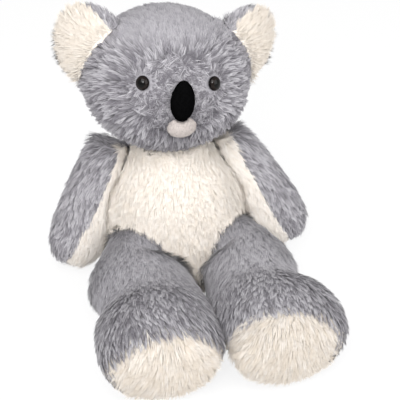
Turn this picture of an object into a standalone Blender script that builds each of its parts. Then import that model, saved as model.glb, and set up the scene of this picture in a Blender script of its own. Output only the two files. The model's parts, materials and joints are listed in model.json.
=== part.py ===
"""A seated plush koala with stuffed limbs, 365 mm tall.

Metres, +Z up. The koala sits on the floor at Z = 0 and faces -Y, so its left side is +X. The origin
is the middle of its box on the floor. Each skin is a stuffed form's surface with the thickness of
matted pile fabric, and the stuffing inside is the same form, drawn in. Head, arms and legs turn in
round seats that the body is hollowed to fit.
"""

import math

import bmesh
import bpy
from mathutils import Matrix, Vector

# Head, measured over the pile
HEAD_WIDTH = 0.207
HEAD_DEPTH = 0.184
HEAD_HEIGHT = 0.178
HEAD_CENTRE_HEIGHT = 0.272
HEAD_FORWARD = 0.004
HEAD_TURN = math.radians(1)
HEAD_TILT = math.radians(5)
NECK_OPENING_RADIUS = 0.026

# Body
BODY_WIDTH = 0.186
BODY_DEPTH = 0.172
BODY_HEIGHT = 0.206
BODY_LEAN = math.radians(3.5)
BELLY_FULLNESS = 0.007
BELLY_TOP_WIDTH = 0.170
BELLY_BASE_WIDTH = 0.210
BELLY_SEAM_BACK = 0.022

# Neck stuffing
NECK_RADIUS = 0.030
NECK_DEPTH = 0.030

# Arms
SHOULDER_RADIUS = 0.034
SHOULDER_APART = 0.158
SHOULDER_HEIGHT = 0.156
SHOULDER_BACK = 0.012
ARM_LENGTH = 0.161
ARM_WIDTH = 0.084
ARM_DEPTH = 0.070
ARM_SPLAY_LEFT = math.radians(31)
ARM_SPLAY_RIGHT = math.radians(20)
ARM_FORWARD_LEFT = math.radians(11)
ARM_FORWARD_RIGHT = math.radians(4)
ARM_SEAM_OUT = 0.003
ARM_CLEARING_SWING = math.radians(40)

# Legs
HIP_RADIUS = 0.047
HIPS_APART = 0.126
HIP_FORWARD = 0.060
LEG_LENGTH = 0.232
LEG_TURN = math.radians(2.6)
THIGH_WIDTH_LEFT = 0.128
THIGH_WIDTH_RIGHT = 0.140
THIGH_DEPTH = 0.096
THIGHS_APART = 0.013
ANKLE_WIDTH_LEFT = 0.112
ANKLE_WIDTH_RIGHT = 0.119
ANKLE_DEPTH = 0.092
FOOT_WIDTH = 0.148
FOOT_DEPTH = 0.112
FOOT_TURN_LEFT = math.radians(7)
FOOT_TURN_RIGHT = math.radians(1)
SOLE_SLANT_LEFT = math.radians(11)
SOLE_SLANT_RIGHT = math.radians(1)
SOLE_BULGE = 0.026
LEG_LIFT = math.radians(20)

# Ears
EAR_WIDTH = 0.094
EAR_HEIGHT = 0.118
EAR_DEPTH = 0.040
EAR_REACH = 0.087
EAR_RISE = 0.033
EAR_BACK = 0.004
EAR_TURN = math.radians(20)
EAR_TILT = math.radians(24)
EAR_SEAM_BACK = 0.003
EAR_SEAM_TURN = math.radians(12)

# Face
EYE_RADIUS = 0.0080
EYE_HEIGHT = 0.0055
EYE_SINK = 0.0030
EYE_SHANK_RADIUS = 0.0022
EYE_SHANK_LENGTH = 0.0140
EYE_YAW_LEFT = math.radians(26.6)
EYE_YAW_RIGHT = math.radians(30)
EYE_PITCH = math.radians(16.8)
NOSE_WIDTH = 0.031
NOSE_HEIGHT = 0.052
NOSE_PROUD = 0.014
NOSE_SHANK_RADIUS = 0.0030
NOSE_SHANK_LENGTH = 0.0160
NOSE_PITCH = math.radians(8)
CHIN_WIDTH = 0.036
CHIN_HEIGHT = 0.032
CHIN_PROUD = 0.009
CHIN_PITCH = math.radians(-14)
CHIN_YAW = math.radians(1.8)
WASHER_RADIUS = 0.0075
WASHER_THICKNESS = 0.0025
WASHER_SET = 0.0018
POCKET_DEPTH = 0.0260

# Fabric and fits
FABRIC = 0.0070
EAR_FABRIC = 0.0050
GAP = 0.0003
STUFFING_GAP = 0.0008
TURNING_GAP = 0.0012
HEAD_GAP = 0.0020
FLOOR_FLAT = 0.0005
OVERRUN = 0.0500
WELD = 0.00008

# Counts
HEAD_SIDES = 12
LEG_SIDES = 10
ARM_SIDES = 8
EAR_SIDES = 8
STUFFING_SIDES = 6
ROUND_SIDES = 16
SEAT_SIDES = 24
TURN_STEPS = 3
DOME_STEPS = 4
DOME_TURN = math.radians(84)

# Rings of each form from root to tip, as shares of its own half sizes:
# place along the form, half width, half depth
HEAD_RING_SHARES = (
    (-0.92, 0.40, 0.40),
    (-0.70, 0.72, 0.72),
    (-0.38, 0.96, 0.93),
    (-0.04, 1.00, 1.00),
    (0.32, 0.94, 0.97),
    (0.64, 0.75, 0.79),
    (0.88, 0.46, 0.49),
)
BODY_RING_SHARES = (
    (0.00, 0.62, 0.66),
    (0.09, 0.90, 0.92),
    (0.26, 1.00, 1.00),
    (0.47, 0.97, 0.97),
    (0.68, 0.84, 0.86),
    (0.86, 0.66, 0.68),
    (0.97, 0.38, 0.42),
)
ARM_RING_SHARES = (
    (0.28, 0.93, 0.98),
    (0.56, 1.00, 1.00),
    (0.78, 0.98, 0.97),
    (0.93, 0.70, 0.70),
)
EAR_RING_SHARES = (
    (-0.80, 0.60, 0.72),
    (-0.42, 0.93, 0.95),
    (0.02, 1.00, 1.00),
    (0.48, 0.86, 0.90),
    (0.84, 0.53, 0.66),
)
BALL_RING_ANGLES = (math.radians(28), math.radians(58))

# Sections of a leg as shares of the way from the hip to the sole's seam, and of the foot's size
THIGH_PLACE_SHARE = 0.25
ANKLE_PLACE_SHARE = 0.47
INSTEP_PLACE_SHARE = 0.62
INSTEP_SIZE_SHARE = 0.96
TOES_PLACE_SHARE = 0.84
SEAM_SIZE_SHARE = 0.97
CROWN_PLACE_SHARE = 0.66
CROWN_SIZE_SHARE = 0.72

# The nose draws in towards its top by this share of its width
NOSE_NARROWING_SHARE = 0.22
# A limb's skin is open at its root over this share of the root's radius
ROOT_OPENING_SHARE = 0.5

KOALA = "plush_koala"
CUTTERS = "cutters"

COLOURS = {
    "grey_fur": ((0.41, 0.40, 0.43), 0.95),
    "cream_fur": ((0.90, 0.85, 0.78), 0.95),
    "white_plush": ((0.80, 0.72, 0.68), 0.95),
    "polyester_fill": ((0.85, 0.85, 0.84), 1.00),
    "black_flock": ((0.010, 0.010, 0.011), 0.90),
    "dark_gloss": ((0.020, 0.012, 0.008), 0.08),
    "white_plastic": ((0.80, 0.80, 0.78), 0.45),
}


def clear_scene():
    """Remove the objects that the scene opens with."""
    for obj in list(bpy.data.objects):
        bpy.data.objects.remove(obj, do_unlink=True)


def new_collection(name):
    """A collection linked to the scene."""
    collection = bpy.data.collections.new(name)
    bpy.context.scene.collection.children.link(collection)


def make_material(name):
    """The Principled material of one finish."""
    colour, roughness = COLOURS[name]
    material = bpy.data.materials.get(name) or bpy.data.materials.new(name)
    material.use_nodes = True
    shader = material.node_tree.nodes["Principled BSDF"]
    shader.inputs["Base Color"].default_value = (*colour, 1.0)
    shader.inputs["Roughness"].default_value = roughness
    shader.inputs["Metallic"].default_value = 0.0
    material.diffuse_color = (*colour, 1.0)
    return material


def add_pivot(name, matrix, parent=None):
    """An empty on a joint's axis, which the moving pieces are parented to."""
    empty = bpy.data.objects.new(name, None)
    empty.empty_display_size = SHOULDER_RADIUS
    bpy.data.collections[KOALA].objects.link(empty)
    empty.parent = parent
    empty.matrix_world = matrix
    return empty


def add_piece(name, mesh, pivot, finish):
    """One named piece of the koala, carried by its pivot."""
    piece = bpy.data.objects.new(name, mesh)
    bpy.data.collections[KOALA].objects.link(piece)
    piece.parent = pivot
    mesh.materials.clear()
    mesh.materials.append(make_material(finish))
    return piece


def add_cutter(name, mesh, pivot):
    """A guide body that only cuts the pieces."""
    cutter = bpy.data.objects.new(name, mesh)
    bpy.data.collections[CUTTERS].objects.link(cutter)
    cutter.parent = pivot
    cutter.hide_render = True
    cutter.display_type = "WIRE"
    return cutter


def smooth(obj):
    """Round a coarse cage off."""
    modifier = obj.modifiers.new("smooth", "SUBSURF")
    modifier.levels = 1
    modifier.render_levels = 1
    return obj


def grow(obj, distance):
    """Move a surface out along its normals."""
    modifier = obj.modifiers.new("grow", "DISPLACE")
    modifier.strength = distance
    modifier.mid_level = 0.0
    return obj


def line_with_fabric(obj, thickness):
    """Give a form's surface the thickness of its skin, inwards."""
    modifier = obj.modifiers.new("fabric", "SOLIDIFY")
    modifier.thickness = thickness
    modifier.offset = -1.0
    return obj


def boolean(obj, other, operation="DIFFERENCE", crossing=False):
    """Cut, join or trim a piece by another body, whose faces may cross each other."""
    modifier = obj.modifiers.new(operation.lower(), "BOOLEAN")
    modifier.operation = operation
    modifier.object = other
    modifier.solver = "EXACT"
    modifier.use_self = crossing
    return obj


def weld(obj):
    """Merge the slivers that cuts leave."""
    modifier = obj.modifiers.new("weld", "WELD")
    modifier.merge_threshold = WELD
    return obj


def shade(mesh):
    """Smooth shading with sharp seams."""
    mesh.shade_smooth()
    mesh.set_sharp_from_angle(angle=math.radians(50))
    return mesh


def ring_mesh(name, sides, start, rings, end):
    """A sphere whose rings are moved to a form's sections.

    A ring is its place along +Z, half width, half depth, and shift in X and Y. The widths are
    those of the rounded form, so the cage is as much larger as rounding it off takes away.
    """
    swell = 3.0 / (2.0 + math.cos(math.tau / sides))
    bm = bmesh.new()
    bmesh.ops.create_uvsphere(bm, u_segments=sides, v_segments=len(rings) + 1, radius=1.0)
    step = math.pi / (len(rings) + 1)
    for vert in bm.verts:
        index = len(rings) - round(math.acos(max(-1.0, min(1.0, vert.co.z))) / step)
        if index < 0 or index >= len(rings):
            end_ring = rings[-1] if vert.co.z > 0.0 else rings[0]
            place = end if vert.co.z > 0.0 else start
            vert.co = Vector((end_ring[3], end_ring[4], place))
            continue
        along, half_width, half_depth, shift_x, shift_y = rings[index]
        flat = Vector((vert.co.x, vert.co.y)).normalized() * swell
        vert.co = Vector((flat.x * half_width + shift_x, flat.y * half_depth + shift_y, along))
    mesh = bpy.data.meshes.new(name)
    bm.to_mesh(mesh)
    bm.free()
    return shade(mesh)


def sphere_mesh(name, radius, sides=ROUND_SIDES):
    """A ball whose corners lie on a radius."""
    bm = bmesh.new()
    bmesh.ops.create_uvsphere(bm, u_segments=sides, v_segments=sides // 2, radius=radius)
    mesh = bpy.data.meshes.new(name)
    bm.to_mesh(mesh)
    bm.free()
    return shade(mesh)


def seat_mesh(name, radius):
    """A ball whose flat faces all lie outside a radius, to hollow a seat for what turns in it."""
    return sphere_mesh(name, radius / math.cos(math.pi / SEAT_SIDES) ** 2, SEAT_SIDES)


def cylinder_mesh(name, radius, low, high):
    """A round bar along Z between two heights."""
    bm = bmesh.new()
    bmesh.ops.create_cone(
        bm,
        cap_ends=True,
        segments=ROUND_SIDES,
        radius1=radius,
        radius2=radius,
        depth=high - low,
    )
    bmesh.ops.translate(bm, vec=Vector((0.0, 0.0, (low + high) / 2.0)), verts=bm.verts)
    mesh = bpy.data.meshes.new(name)
    bm.to_mesh(mesh)
    bm.free()
    return shade(mesh)


def box_mesh(name, low, high):
    """A box between two corners."""
    low, high = Vector(low), Vector(high)
    bm = bmesh.new()
    bmesh.ops.create_cube(bm, size=1.0)
    bmesh.ops.scale(bm, vec=high - low, verts=bm.verts)
    bmesh.ops.translate(bm, vec=(low + high) / 2.0, verts=bm.verts)
    mesh = bpy.data.meshes.new(name)
    bm.to_mesh(mesh)
    bm.free()
    return mesh


def turned(name, profile, pivot, finish, ring=False):
    """A round piece turned about Z from a profile of (radius, height), top to bottom."""
    mesh = bpy.data.meshes.new(name)
    bm = bmesh.new()
    verts = [bm.verts.new((radius, 0.0, height)) for radius, height in profile]
    for first, second in zip(verts, verts[1:]):
        bm.edges.new((first, second))
    if ring:
        bm.edges.new((verts[-1], verts[0]))
    bm.to_mesh(mesh)
    bm.free()
    piece = add_piece(name, mesh, pivot, finish)
    screw = piece.modifiers.new("turn", "SCREW")
    screw.angle = math.tau
    screw.steps = ROUND_SIDES
    screw.render_steps = ROUND_SIDES
    screw.axis = "Z"
    screw.use_merge_vertices = True
    screw.merge_threshold = 0.00001
    screw.use_smooth_shade = True
    return piece


def ball_rings(radius):
    """The round root of a limb, from its pole to its widest ring."""
    rings = [
        (-radius * math.cos(angle), radius * math.sin(angle), radius * math.sin(angle), 0.0, 0.0)
        for angle in BALL_RING_ANGLES
    ]
    return rings + [(0.0, radius, radius, 0.0, 0.0)]


def scaled_rings(shares, along, half_width, half_depth):
    """Sections given as shares of a form's own half sizes."""
    return [
        (place * along, width * half_width, depth * half_depth, 0.0, 0.0)
        for place, width, depth in shares
    ]


def surface_hit(form, yaw, pitch):
    """Where a line from the form's centre leaves it, and the line's direction."""
    level = math.cos(pitch)
    direction = Vector((math.sin(yaw) * level, -math.cos(yaw) * level, math.sin(pitch)))
    bpy.context.view_layer.update()
    evaluated = form.evaluated_get(bpy.context.evaluated_depsgraph_get())
    far = direction * (HEAD_WIDTH + HEAD_DEPTH)
    _, place, _, _ = evaluated.ray_cast(far, -direction)
    return place, direction


def facing(place, direction):
    """A matrix that puts +Z along a direction at a place, with +Y kept upright."""
    out = direction.normalized()
    side = Vector((0.0, 0.0, 1.0)).cross(out).normalized()
    up = out.cross(side)
    turn = Matrix((side, up, out)).transposed().to_4x4()
    return Matrix.Translation(place) @ turn


def stuffed(name, finish, pivot, cage, stuffing_cage, fabric, clear=(), crossing=False):
    """A skin and its stuffing, both cleared of the bodies that they sit against."""
    skin = line_with_fabric(smooth(add_piece(name, cage, pivot, finish)), fabric)
    fill_name = name.replace("_skin", "") + "_stuffing"
    fill = smooth(add_piece(fill_name, stuffing_cage, pivot, "polyester_fill"))
    grow(fill, -(fabric + STUFFING_GAP))
    for body in clear:
        boolean(skin, body, crossing=crossing)
        boolean(fill, body, crossing=crossing)
    return skin, fill


def split(skin, other_name, finish, pivot, make_region):
    """Sew a skin from two panels: the skin keeps what lies outside a region, a new panel the rest."""
    other = skin.copy()
    other.data = skin.data.copy()
    other.name = other_name
    bpy.data.collections[KOALA].objects.link(other)
    other.data.materials.clear()
    other.data.materials.append(make_material(finish))
    boolean(other, add_cutter(other_name + "_region", make_region(0.0), pivot), "INTERSECT")
    boolean(skin, add_cutter(other_name + "_clear", make_region(GAP), pivot))
    return other


def half_space(name, axis, start, sign, turn=None):
    """A maker of a large box that begins at a plane, which may be turned and grown by a gap."""
    reach = BODY_HEIGHT + LEG_LENGTH

    def make(gap):
        low = [-reach] * 3
        high = [reach] * 3
        if sign > 0:
            low[axis] = start - gap
        else:
            high[axis] = start + gap
        mesh = box_mesh(name, low, high)
        if turn is not None:
            mesh.transform(turn)
        return mesh

    return make


def belly_region(gap):
    """The front of the body between two slanted side seams."""
    low, high = -OVERRUN, BODY_HEIGHT + OVERRUN
    bm = bmesh.new()
    bmesh.ops.create_cube(bm, size=1.0)
    for vert in bm.verts:
        height = high if vert.co.z > 0.0 else low
        share = height / BODY_HEIGHT
        half_width = BELLY_BASE_WIDTH / 2.0 * (1.0 - share) + BELLY_TOP_WIDTH / 2.0 * share + gap
        depth = -BELLY_SEAM_BACK + gap if vert.co.y > 0.0 else -BODY_DEPTH
        vert.co = Vector((math.copysign(half_width, vert.co.x), depth, height))
    mesh = bpy.data.meshes.new("belly_region")
    bm.to_mesh(mesh)
    bm.free()
    return mesh


def build_head(head_pivot):
    """Head skin, stuffing, face and ears."""
    half_height = HEAD_HEIGHT / 2.0
    rings = scaled_rings(HEAD_RING_SHARES, half_height, HEAD_WIDTH / 2.0, HEAD_DEPTH / 2.0)
    cage = ring_mesh("head_cage", HEAD_SIDES, -half_height, rings, half_height)
    fill_cage = ring_mesh("head_fill_cage", STUFFING_SIDES, -half_height, rings, half_height)
    envelope = grow(smooth(add_cutter("head_envelope", cage.copy(), head_pivot)), GAP)
    opening = cylinder_mesh(
        "neck_hole", NECK_OPENING_RADIUS, -half_height - OVERRUN, -half_height / 2.0
    )
    neck_hole = add_cutter("neck_hole", opening, head_pivot)
    skin, fill = stuffed("head_skin", "grey_fur", head_pivot, cage, fill_cage, FABRIC)
    boolean(skin, neck_hole)
    for side, sign, yaw in (("left", 1.0, EYE_YAW_LEFT), ("right", -1.0, -EYE_YAW_RIGHT)):
        place, direction = surface_hit(envelope, yaw, EYE_PITCH)
        build_eye(side, head_pivot, skin, fill, place, direction)
        build_ear(side, sign, head_pivot, envelope)
    build_nose(head_pivot, skin, fill, envelope)


def add_washer(name, pivot, shank_radius, depth, skin, fill):
    """A locking washer on a shank, under the skin and in a pocket of the stuffing."""
    top = -depth
    turned(
        name,
        (
            (shank_radius + GAP, top),
            (WASHER_RADIUS, top),
            (WASHER_RADIUS, top - WASHER_THICKNESS),
            (shank_radius + GAP, top - WASHER_THICKNESS),
        ),
        pivot,
        "white_plastic",
        ring=True,
    )
    pocket = cylinder_mesh(name + "_pocket", WASHER_RADIUS + STUFFING_GAP, -POCKET_DEPTH, depth)
    boolean(fill, add_cutter(name + "_pocket", pocket, pivot))
    room = cylinder_mesh(name + "_room", WASHER_RADIUS + GAP, -POCKET_DEPTH, top + GAP)
    boolean(skin, add_cutter(name + "_room", room, pivot))


def build_eye(side, head_pivot, skin, fill, place, direction):
    """A domed safety eye sunk in the pile, with its shank and washer."""
    seat = head_pivot.matrix_world @ facing(place, direction)
    pivot = add_pivot("eye_seat_" + side, seat, head_pivot)
    base = -EYE_SINK
    dome = [
        (EYE_RADIUS * math.sin(angle), base + EYE_HEIGHT * math.cos(angle))
        for angle in (DOME_TURN * step / DOME_STEPS for step in range(DOME_STEPS + 1))
    ]
    profile = dome + [
        (EYE_RADIUS, base),
        (EYE_SHANK_RADIUS, base),
        (EYE_SHANK_RADIUS, base - EYE_SHANK_LENGTH),
        (0.0, base - EYE_SHANK_LENGTH),
    ]
    turned("eye_" + side, profile, pivot, "dark_gloss")
    recess = cylinder_mesh("eye_recess", EYE_RADIUS + GAP, base - GAP, OVERRUN)
    boolean(skin, add_cutter("eye_recess_" + side, recess, pivot))
    bore = cylinder_mesh("eye_bore", EYE_SHANK_RADIUS + GAP, -OVERRUN / 2.0, OVERRUN)
    boolean(skin, add_cutter("eye_bore_" + side, bore, pivot))
    depth = FABRIC + WASHER_SET
    add_washer("eye_washer_" + side, pivot, EYE_SHANK_RADIUS, depth, skin, fill)


def build_nose(head_pivot, skin, fill, envelope):
    """An upright oval nose, narrower at the top, with its shank and washer, over the chin patch."""
    place, direction = surface_hit(envelope, 0.0, NOSE_PITCH)
    seat = head_pivot.matrix_world @ facing(place, direction)
    pivot = add_pivot("nose_seat", seat, head_pivot)
    mesh = sphere_mesh("nose", 1.0)
    for vert in mesh.vertices:
        narrowing = 1.0 - NOSE_NARROWING_SHARE * max(0.0, vert.co.y) ** 2
        vert.co.x *= NOSE_WIDTH / 2.0 * narrowing
        vert.co.y *= NOSE_HEIGHT / 2.0
        vert.co.z *= NOSE_PROUD
    nose = add_piece("nose", mesh, pivot, "black_flock")
    boolean(nose, envelope)
    shank = cylinder_mesh("nose_shank", NOSE_SHANK_RADIUS, -NOSE_SHANK_LENGTH, NOSE_PROUD / 2.0)
    boolean(nose, add_cutter("nose_shank", shank, pivot), "UNION")
    bore = cylinder_mesh("nose_bore", NOSE_SHANK_RADIUS + GAP, -OVERRUN / 2.0, OVERRUN)
    boolean(skin, add_cutter("nose_bore", bore, pivot))
    add_washer("nose_washer", pivot, NOSE_SHANK_RADIUS, FABRIC + WASHER_SET, skin, fill)

    place, direction = surface_hit(envelope, CHIN_YAW, CHIN_PITCH)
    seat = head_pivot.matrix_world @ facing(place, direction)
    chin_pivot = add_pivot("chin_seat", seat, head_pivot)
    chin = sphere_mesh("chin_patch", 1.0)
    for vert in chin.vertices:
        vert.co.x *= CHIN_WIDTH / 2.0
        vert.co.y *= CHIN_HEIGHT / 2.0
        vert.co.z *= CHIN_PROUD
    patch = add_piece("chin_patch", chin, chin_pivot, "white_plush")
    boolean(patch, envelope)
    room = mesh.copy()
    boolean(patch, grow(add_cutter("nose_room", room, pivot), GAP))


def build_ear(side, sign, head_pivot, envelope):
    """A round ear: grey back panel, cream front panel and a pad of stuffing."""
    half = EAR_HEIGHT / 2.0
    rings = scaled_rings(EAR_RING_SHARES, half, EAR_WIDTH / 2.0, EAR_DEPTH / 2.0)
    cage = ring_mesh("ear_cage", EAR_SIDES, -half, rings, half)
    fill_cage = ring_mesh("ear_fill_cage", EAR_SIDES - 2, -half, rings, half)
    place = Matrix.Translation(Vector((sign * EAR_REACH, EAR_BACK, EAR_RISE)))
    turn = Matrix.Rotation(sign * EAR_TURN, 4, "Z") @ Matrix.Rotation(sign * EAR_TILT, 4, "Y")
    pivot = add_pivot("ear_seat_" + side, head_pivot.matrix_world @ place @ turn, head_pivot)
    skin, _ = stuffed(
        "ear_" + side + "_skin", "grey_fur", pivot, cage, fill_cage, EAR_FABRIC, (envelope,)
    )
    skin.name = "ear_" + side + "_back"
    seam_turn = Matrix.Rotation(sign * EAR_SEAM_TURN, 4, "Z")
    region = half_space("ear_front_region", 1, EAR_SEAM_BACK, -1, seam_turn)
    split(skin, "ear_" + side + "_front", "cream_fur", pivot, region)


def build_body(body_pivot, neck_pivot, cup, seats, floor):
    """Body skin of two panels, stuffing and the wad in the neck."""
    rings = scaled_rings(BODY_RING_SHARES, BODY_HEIGHT, BODY_WIDTH / 2.0, BODY_DEPTH / 2.0)
    leaning = []
    for along, half_width, half_depth, _, _ in rings:
        full = BELLY_FULLNESS * (1.0 - along / BODY_HEIGHT)
        lean = -math.tan(BODY_LEAN) * along
        leaning.append((along, half_width, half_depth + full, lean, -full))
    rings = leaning
    cage = ring_mesh("body_cage", HEAD_SIDES, -FLOOR_FLAT, rings, BODY_HEIGHT)
    fill_cage = ring_mesh("body_fill_cage", STUFFING_SIDES, -FLOOR_FLAT, rings, BODY_HEIGHT)
    skin, fill = stuffed(
        "body_skin", "grey_fur", body_pivot, cage, fill_cage, FABRIC, (cup, *seats, floor)
    )
    neck_base = HEAD_CENTRE_HEIGHT - HEAD_HEIGHT / 2.0 - NECK_DEPTH
    wad = cylinder_mesh("neck_stuffing", NECK_RADIUS, neck_base, HEAD_CENTRE_HEIGHT)
    for vert in wad.vertices:
        vert.co.z -= HEAD_CENTRE_HEIGHT
    neck = add_piece("neck_stuffing", wad, neck_pivot, "polyester_fill")
    boolean(neck, cup)
    well_radius = (NECK_RADIUS + TURNING_GAP) / math.cos(math.pi / ROUND_SIDES)
    well = cylinder_mesh("neck_well", well_radius, neck_base - GAP, BODY_HEIGHT + OVERRUN)
    for vert in well.vertices:
        vert.co.z -= HEAD_CENTRE_HEIGHT
    neck_well = add_cutter("neck_well", well, neck_pivot)
    boolean(fill, neck_well)
    boolean(skin, neck_well)
    skin.name = "body_back"
    split(skin, "belly_panel", "cream_fur", body_pivot, belly_region)

    envelope = grow(smooth(add_cutter("body_envelope", cage.copy(), body_pivot)), GAP)
    return envelope


def build_arm(side, sign, pivot, body_clear):
    """A stuffed arm: grey outer panel, cream inner panel and stuffing."""
    rings = ball_rings(SHOULDER_RADIUS)
    rings += scaled_rings(ARM_RING_SHARES, ARM_LENGTH, ARM_WIDTH / 2.0, ARM_DEPTH / 2.0)
    cage = ring_mesh("arm_cage", ARM_SIDES, -SHOULDER_RADIUS, rings, ARM_LENGTH)
    fill_cage = ring_mesh("arm_fill_cage", STUFFING_SIDES, -SHOULDER_RADIUS, rings, ARM_LENGTH)
    skin, _ = stuffed(
        "arm_" + side + "_skin", "grey_fur", pivot, cage, fill_cage, FABRIC, (body_clear,), True
    )
    opening = SHOULDER_RADIUS * ROOT_OPENING_SHARE
    root = cylinder_mesh("arm_root", opening, -SHOULDER_RADIUS - OVERRUN, 0.0)
    boolean(skin, add_cutter("arm_root_" + side, root, pivot))
    skin.name = "arm_" + side + "_outer"
    region = half_space("arm_inner_region", 0, -sign * ARM_SEAM_OUT, sign)
    split(skin, "arm_" + side + "_inner", "cream_fur", pivot, region)


def copy_cutter(cutter, name, matrix):
    """Another cutter of the same form at its own place."""
    other = cutter.copy()
    other.name = name
    bpy.data.collections[CUTTERS].objects.link(other)
    other.parent = None
    other.matrix_world = matrix
    return other


def body_as_limb_turns(name, envelope, hinge, axis, reach, ball):
    """The body as a limb meets it on the way through its turn, so that the root stays clear of it.

    The ball that the limb's root turns in is left out.
    """
    bpy.context.view_layer.update()
    body = copy_cutter(envelope, name, envelope.matrix_world.copy())
    for step in range(1, TURN_STEPS + 1):
        turn = Matrix.Rotation(-reach * step / TURN_STEPS, 4, axis)
        back = Matrix.Translation(hinge) @ turn @ Matrix.Translation(-hinge)
        met = copy_cutter(envelope, name + str(step), back @ envelope.matrix_world)
        boolean(body, met, "UNION")
    return boolean(body, ball)


def turn_foot(mesh, start, centre_x, turn):
    """Turn the end of a foot about the upright, more and more from its start to the toes."""
    for vert in mesh.vertices:
        share = min(1.0, max(0.0, (vert.co.z - start) / (LEG_LENGTH - SOLE_BULGE - start)))
        vert.co.z -= share * (vert.co.x - centre_x) * math.tan(turn)


def build_leg(side, sign, pivot, body_clear, floor):
    """A stuffed leg with a large foot: grey skin, cream sole and stuffing."""
    left = sign > 0.0
    thigh_w, thigh_d = (THIGH_WIDTH_LEFT if left else THIGH_WIDTH_RIGHT) / 2.0, THIGH_DEPTH / 2.0
    ankle_w, ankle_d = (ANKLE_WIDTH_LEFT if left else ANKLE_WIDTH_RIGHT) / 2.0, ANKLE_DEPTH / 2.0
    foot_w, foot_d = FOOT_WIDTH / 2.0, FOOT_DEPTH / 2.0
    sole = LEG_LENGTH - SOLE_BULGE
    meet = HIPS_APART / 2.0 * math.cos(LEG_TURN) - GAP

    def section(along, half_width, half_depth, apart=0.0):
        """A section on the floor, which touches the other leg or stands apart from the middle."""
        out = sign * (half_width - meet + apart)
        return (along, half_width, half_depth, out, half_depth - HIP_RADIUS)

    crown = sole + SOLE_BULGE * CROWN_PLACE_SHARE
    foot_out = section(0.0, foot_w, foot_d)[3:]
    rings = ball_rings(HIP_RADIUS) + [
        section(sole * THIGH_PLACE_SHARE, thigh_w, thigh_d, THIGHS_APART / 2.0),
        section(sole * ANKLE_PLACE_SHARE, ankle_w, ankle_d),
        section(sole * INSTEP_PLACE_SHARE, foot_w * INSTEP_SIZE_SHARE, foot_d * INSTEP_SIZE_SHARE),
        section(sole * TOES_PLACE_SHARE, foot_w, foot_d),
        (sole, foot_w * SEAM_SIZE_SHARE, foot_d * SEAM_SIZE_SHARE, *foot_out),
        (crown, foot_w * CROWN_SIZE_SHARE, foot_d * CROWN_SIZE_SHARE, *foot_out),
    ]
    cage = ring_mesh("leg_cage", LEG_SIDES, -HIP_RADIUS, rings, LEG_LENGTH)
    fill_cage = ring_mesh("leg_fill_cage", STUFFING_SIDES, -HIP_RADIUS, rings, LEG_LENGTH)
    foot_turn = sign * (FOOT_TURN_LEFT if left else FOOT_TURN_RIGHT)
    for form in (cage, fill_cage):
        turn_foot(form, sole * INSTEP_PLACE_SHARE, foot_out[0], foot_turn)
    skin, _ = stuffed(
        "leg_" + side + "_skin",
        "grey_fur",
        pivot,
        cage,
        fill_cage,
        FABRIC,
        (body_clear, floor),
        crossing=True,
    )
    root = cylinder_mesh("leg_root", HIP_RADIUS * ROOT_OPENING_SHARE, -HIP_RADIUS - OVERRUN, 0.0)
    boolean(skin, add_cutter("leg_root_" + side, root, pivot))
    skin.name = "leg_" + side
    slant = -sign * (SOLE_SLANT_LEFT if left else SOLE_SLANT_RIGHT)
    outer_edge = Matrix.Translation(Vector((foot_out[0] + sign * foot_w, 0.0, sole)))
    seam_turn = outer_edge @ Matrix.Rotation(slant, 4, "Y") @ outer_edge.inverted()
    region = half_space("sole_region", 2, sole, 1, seam_turn)
    split(skin, "sole_" + side, "cream_fur", pivot, region)


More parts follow.
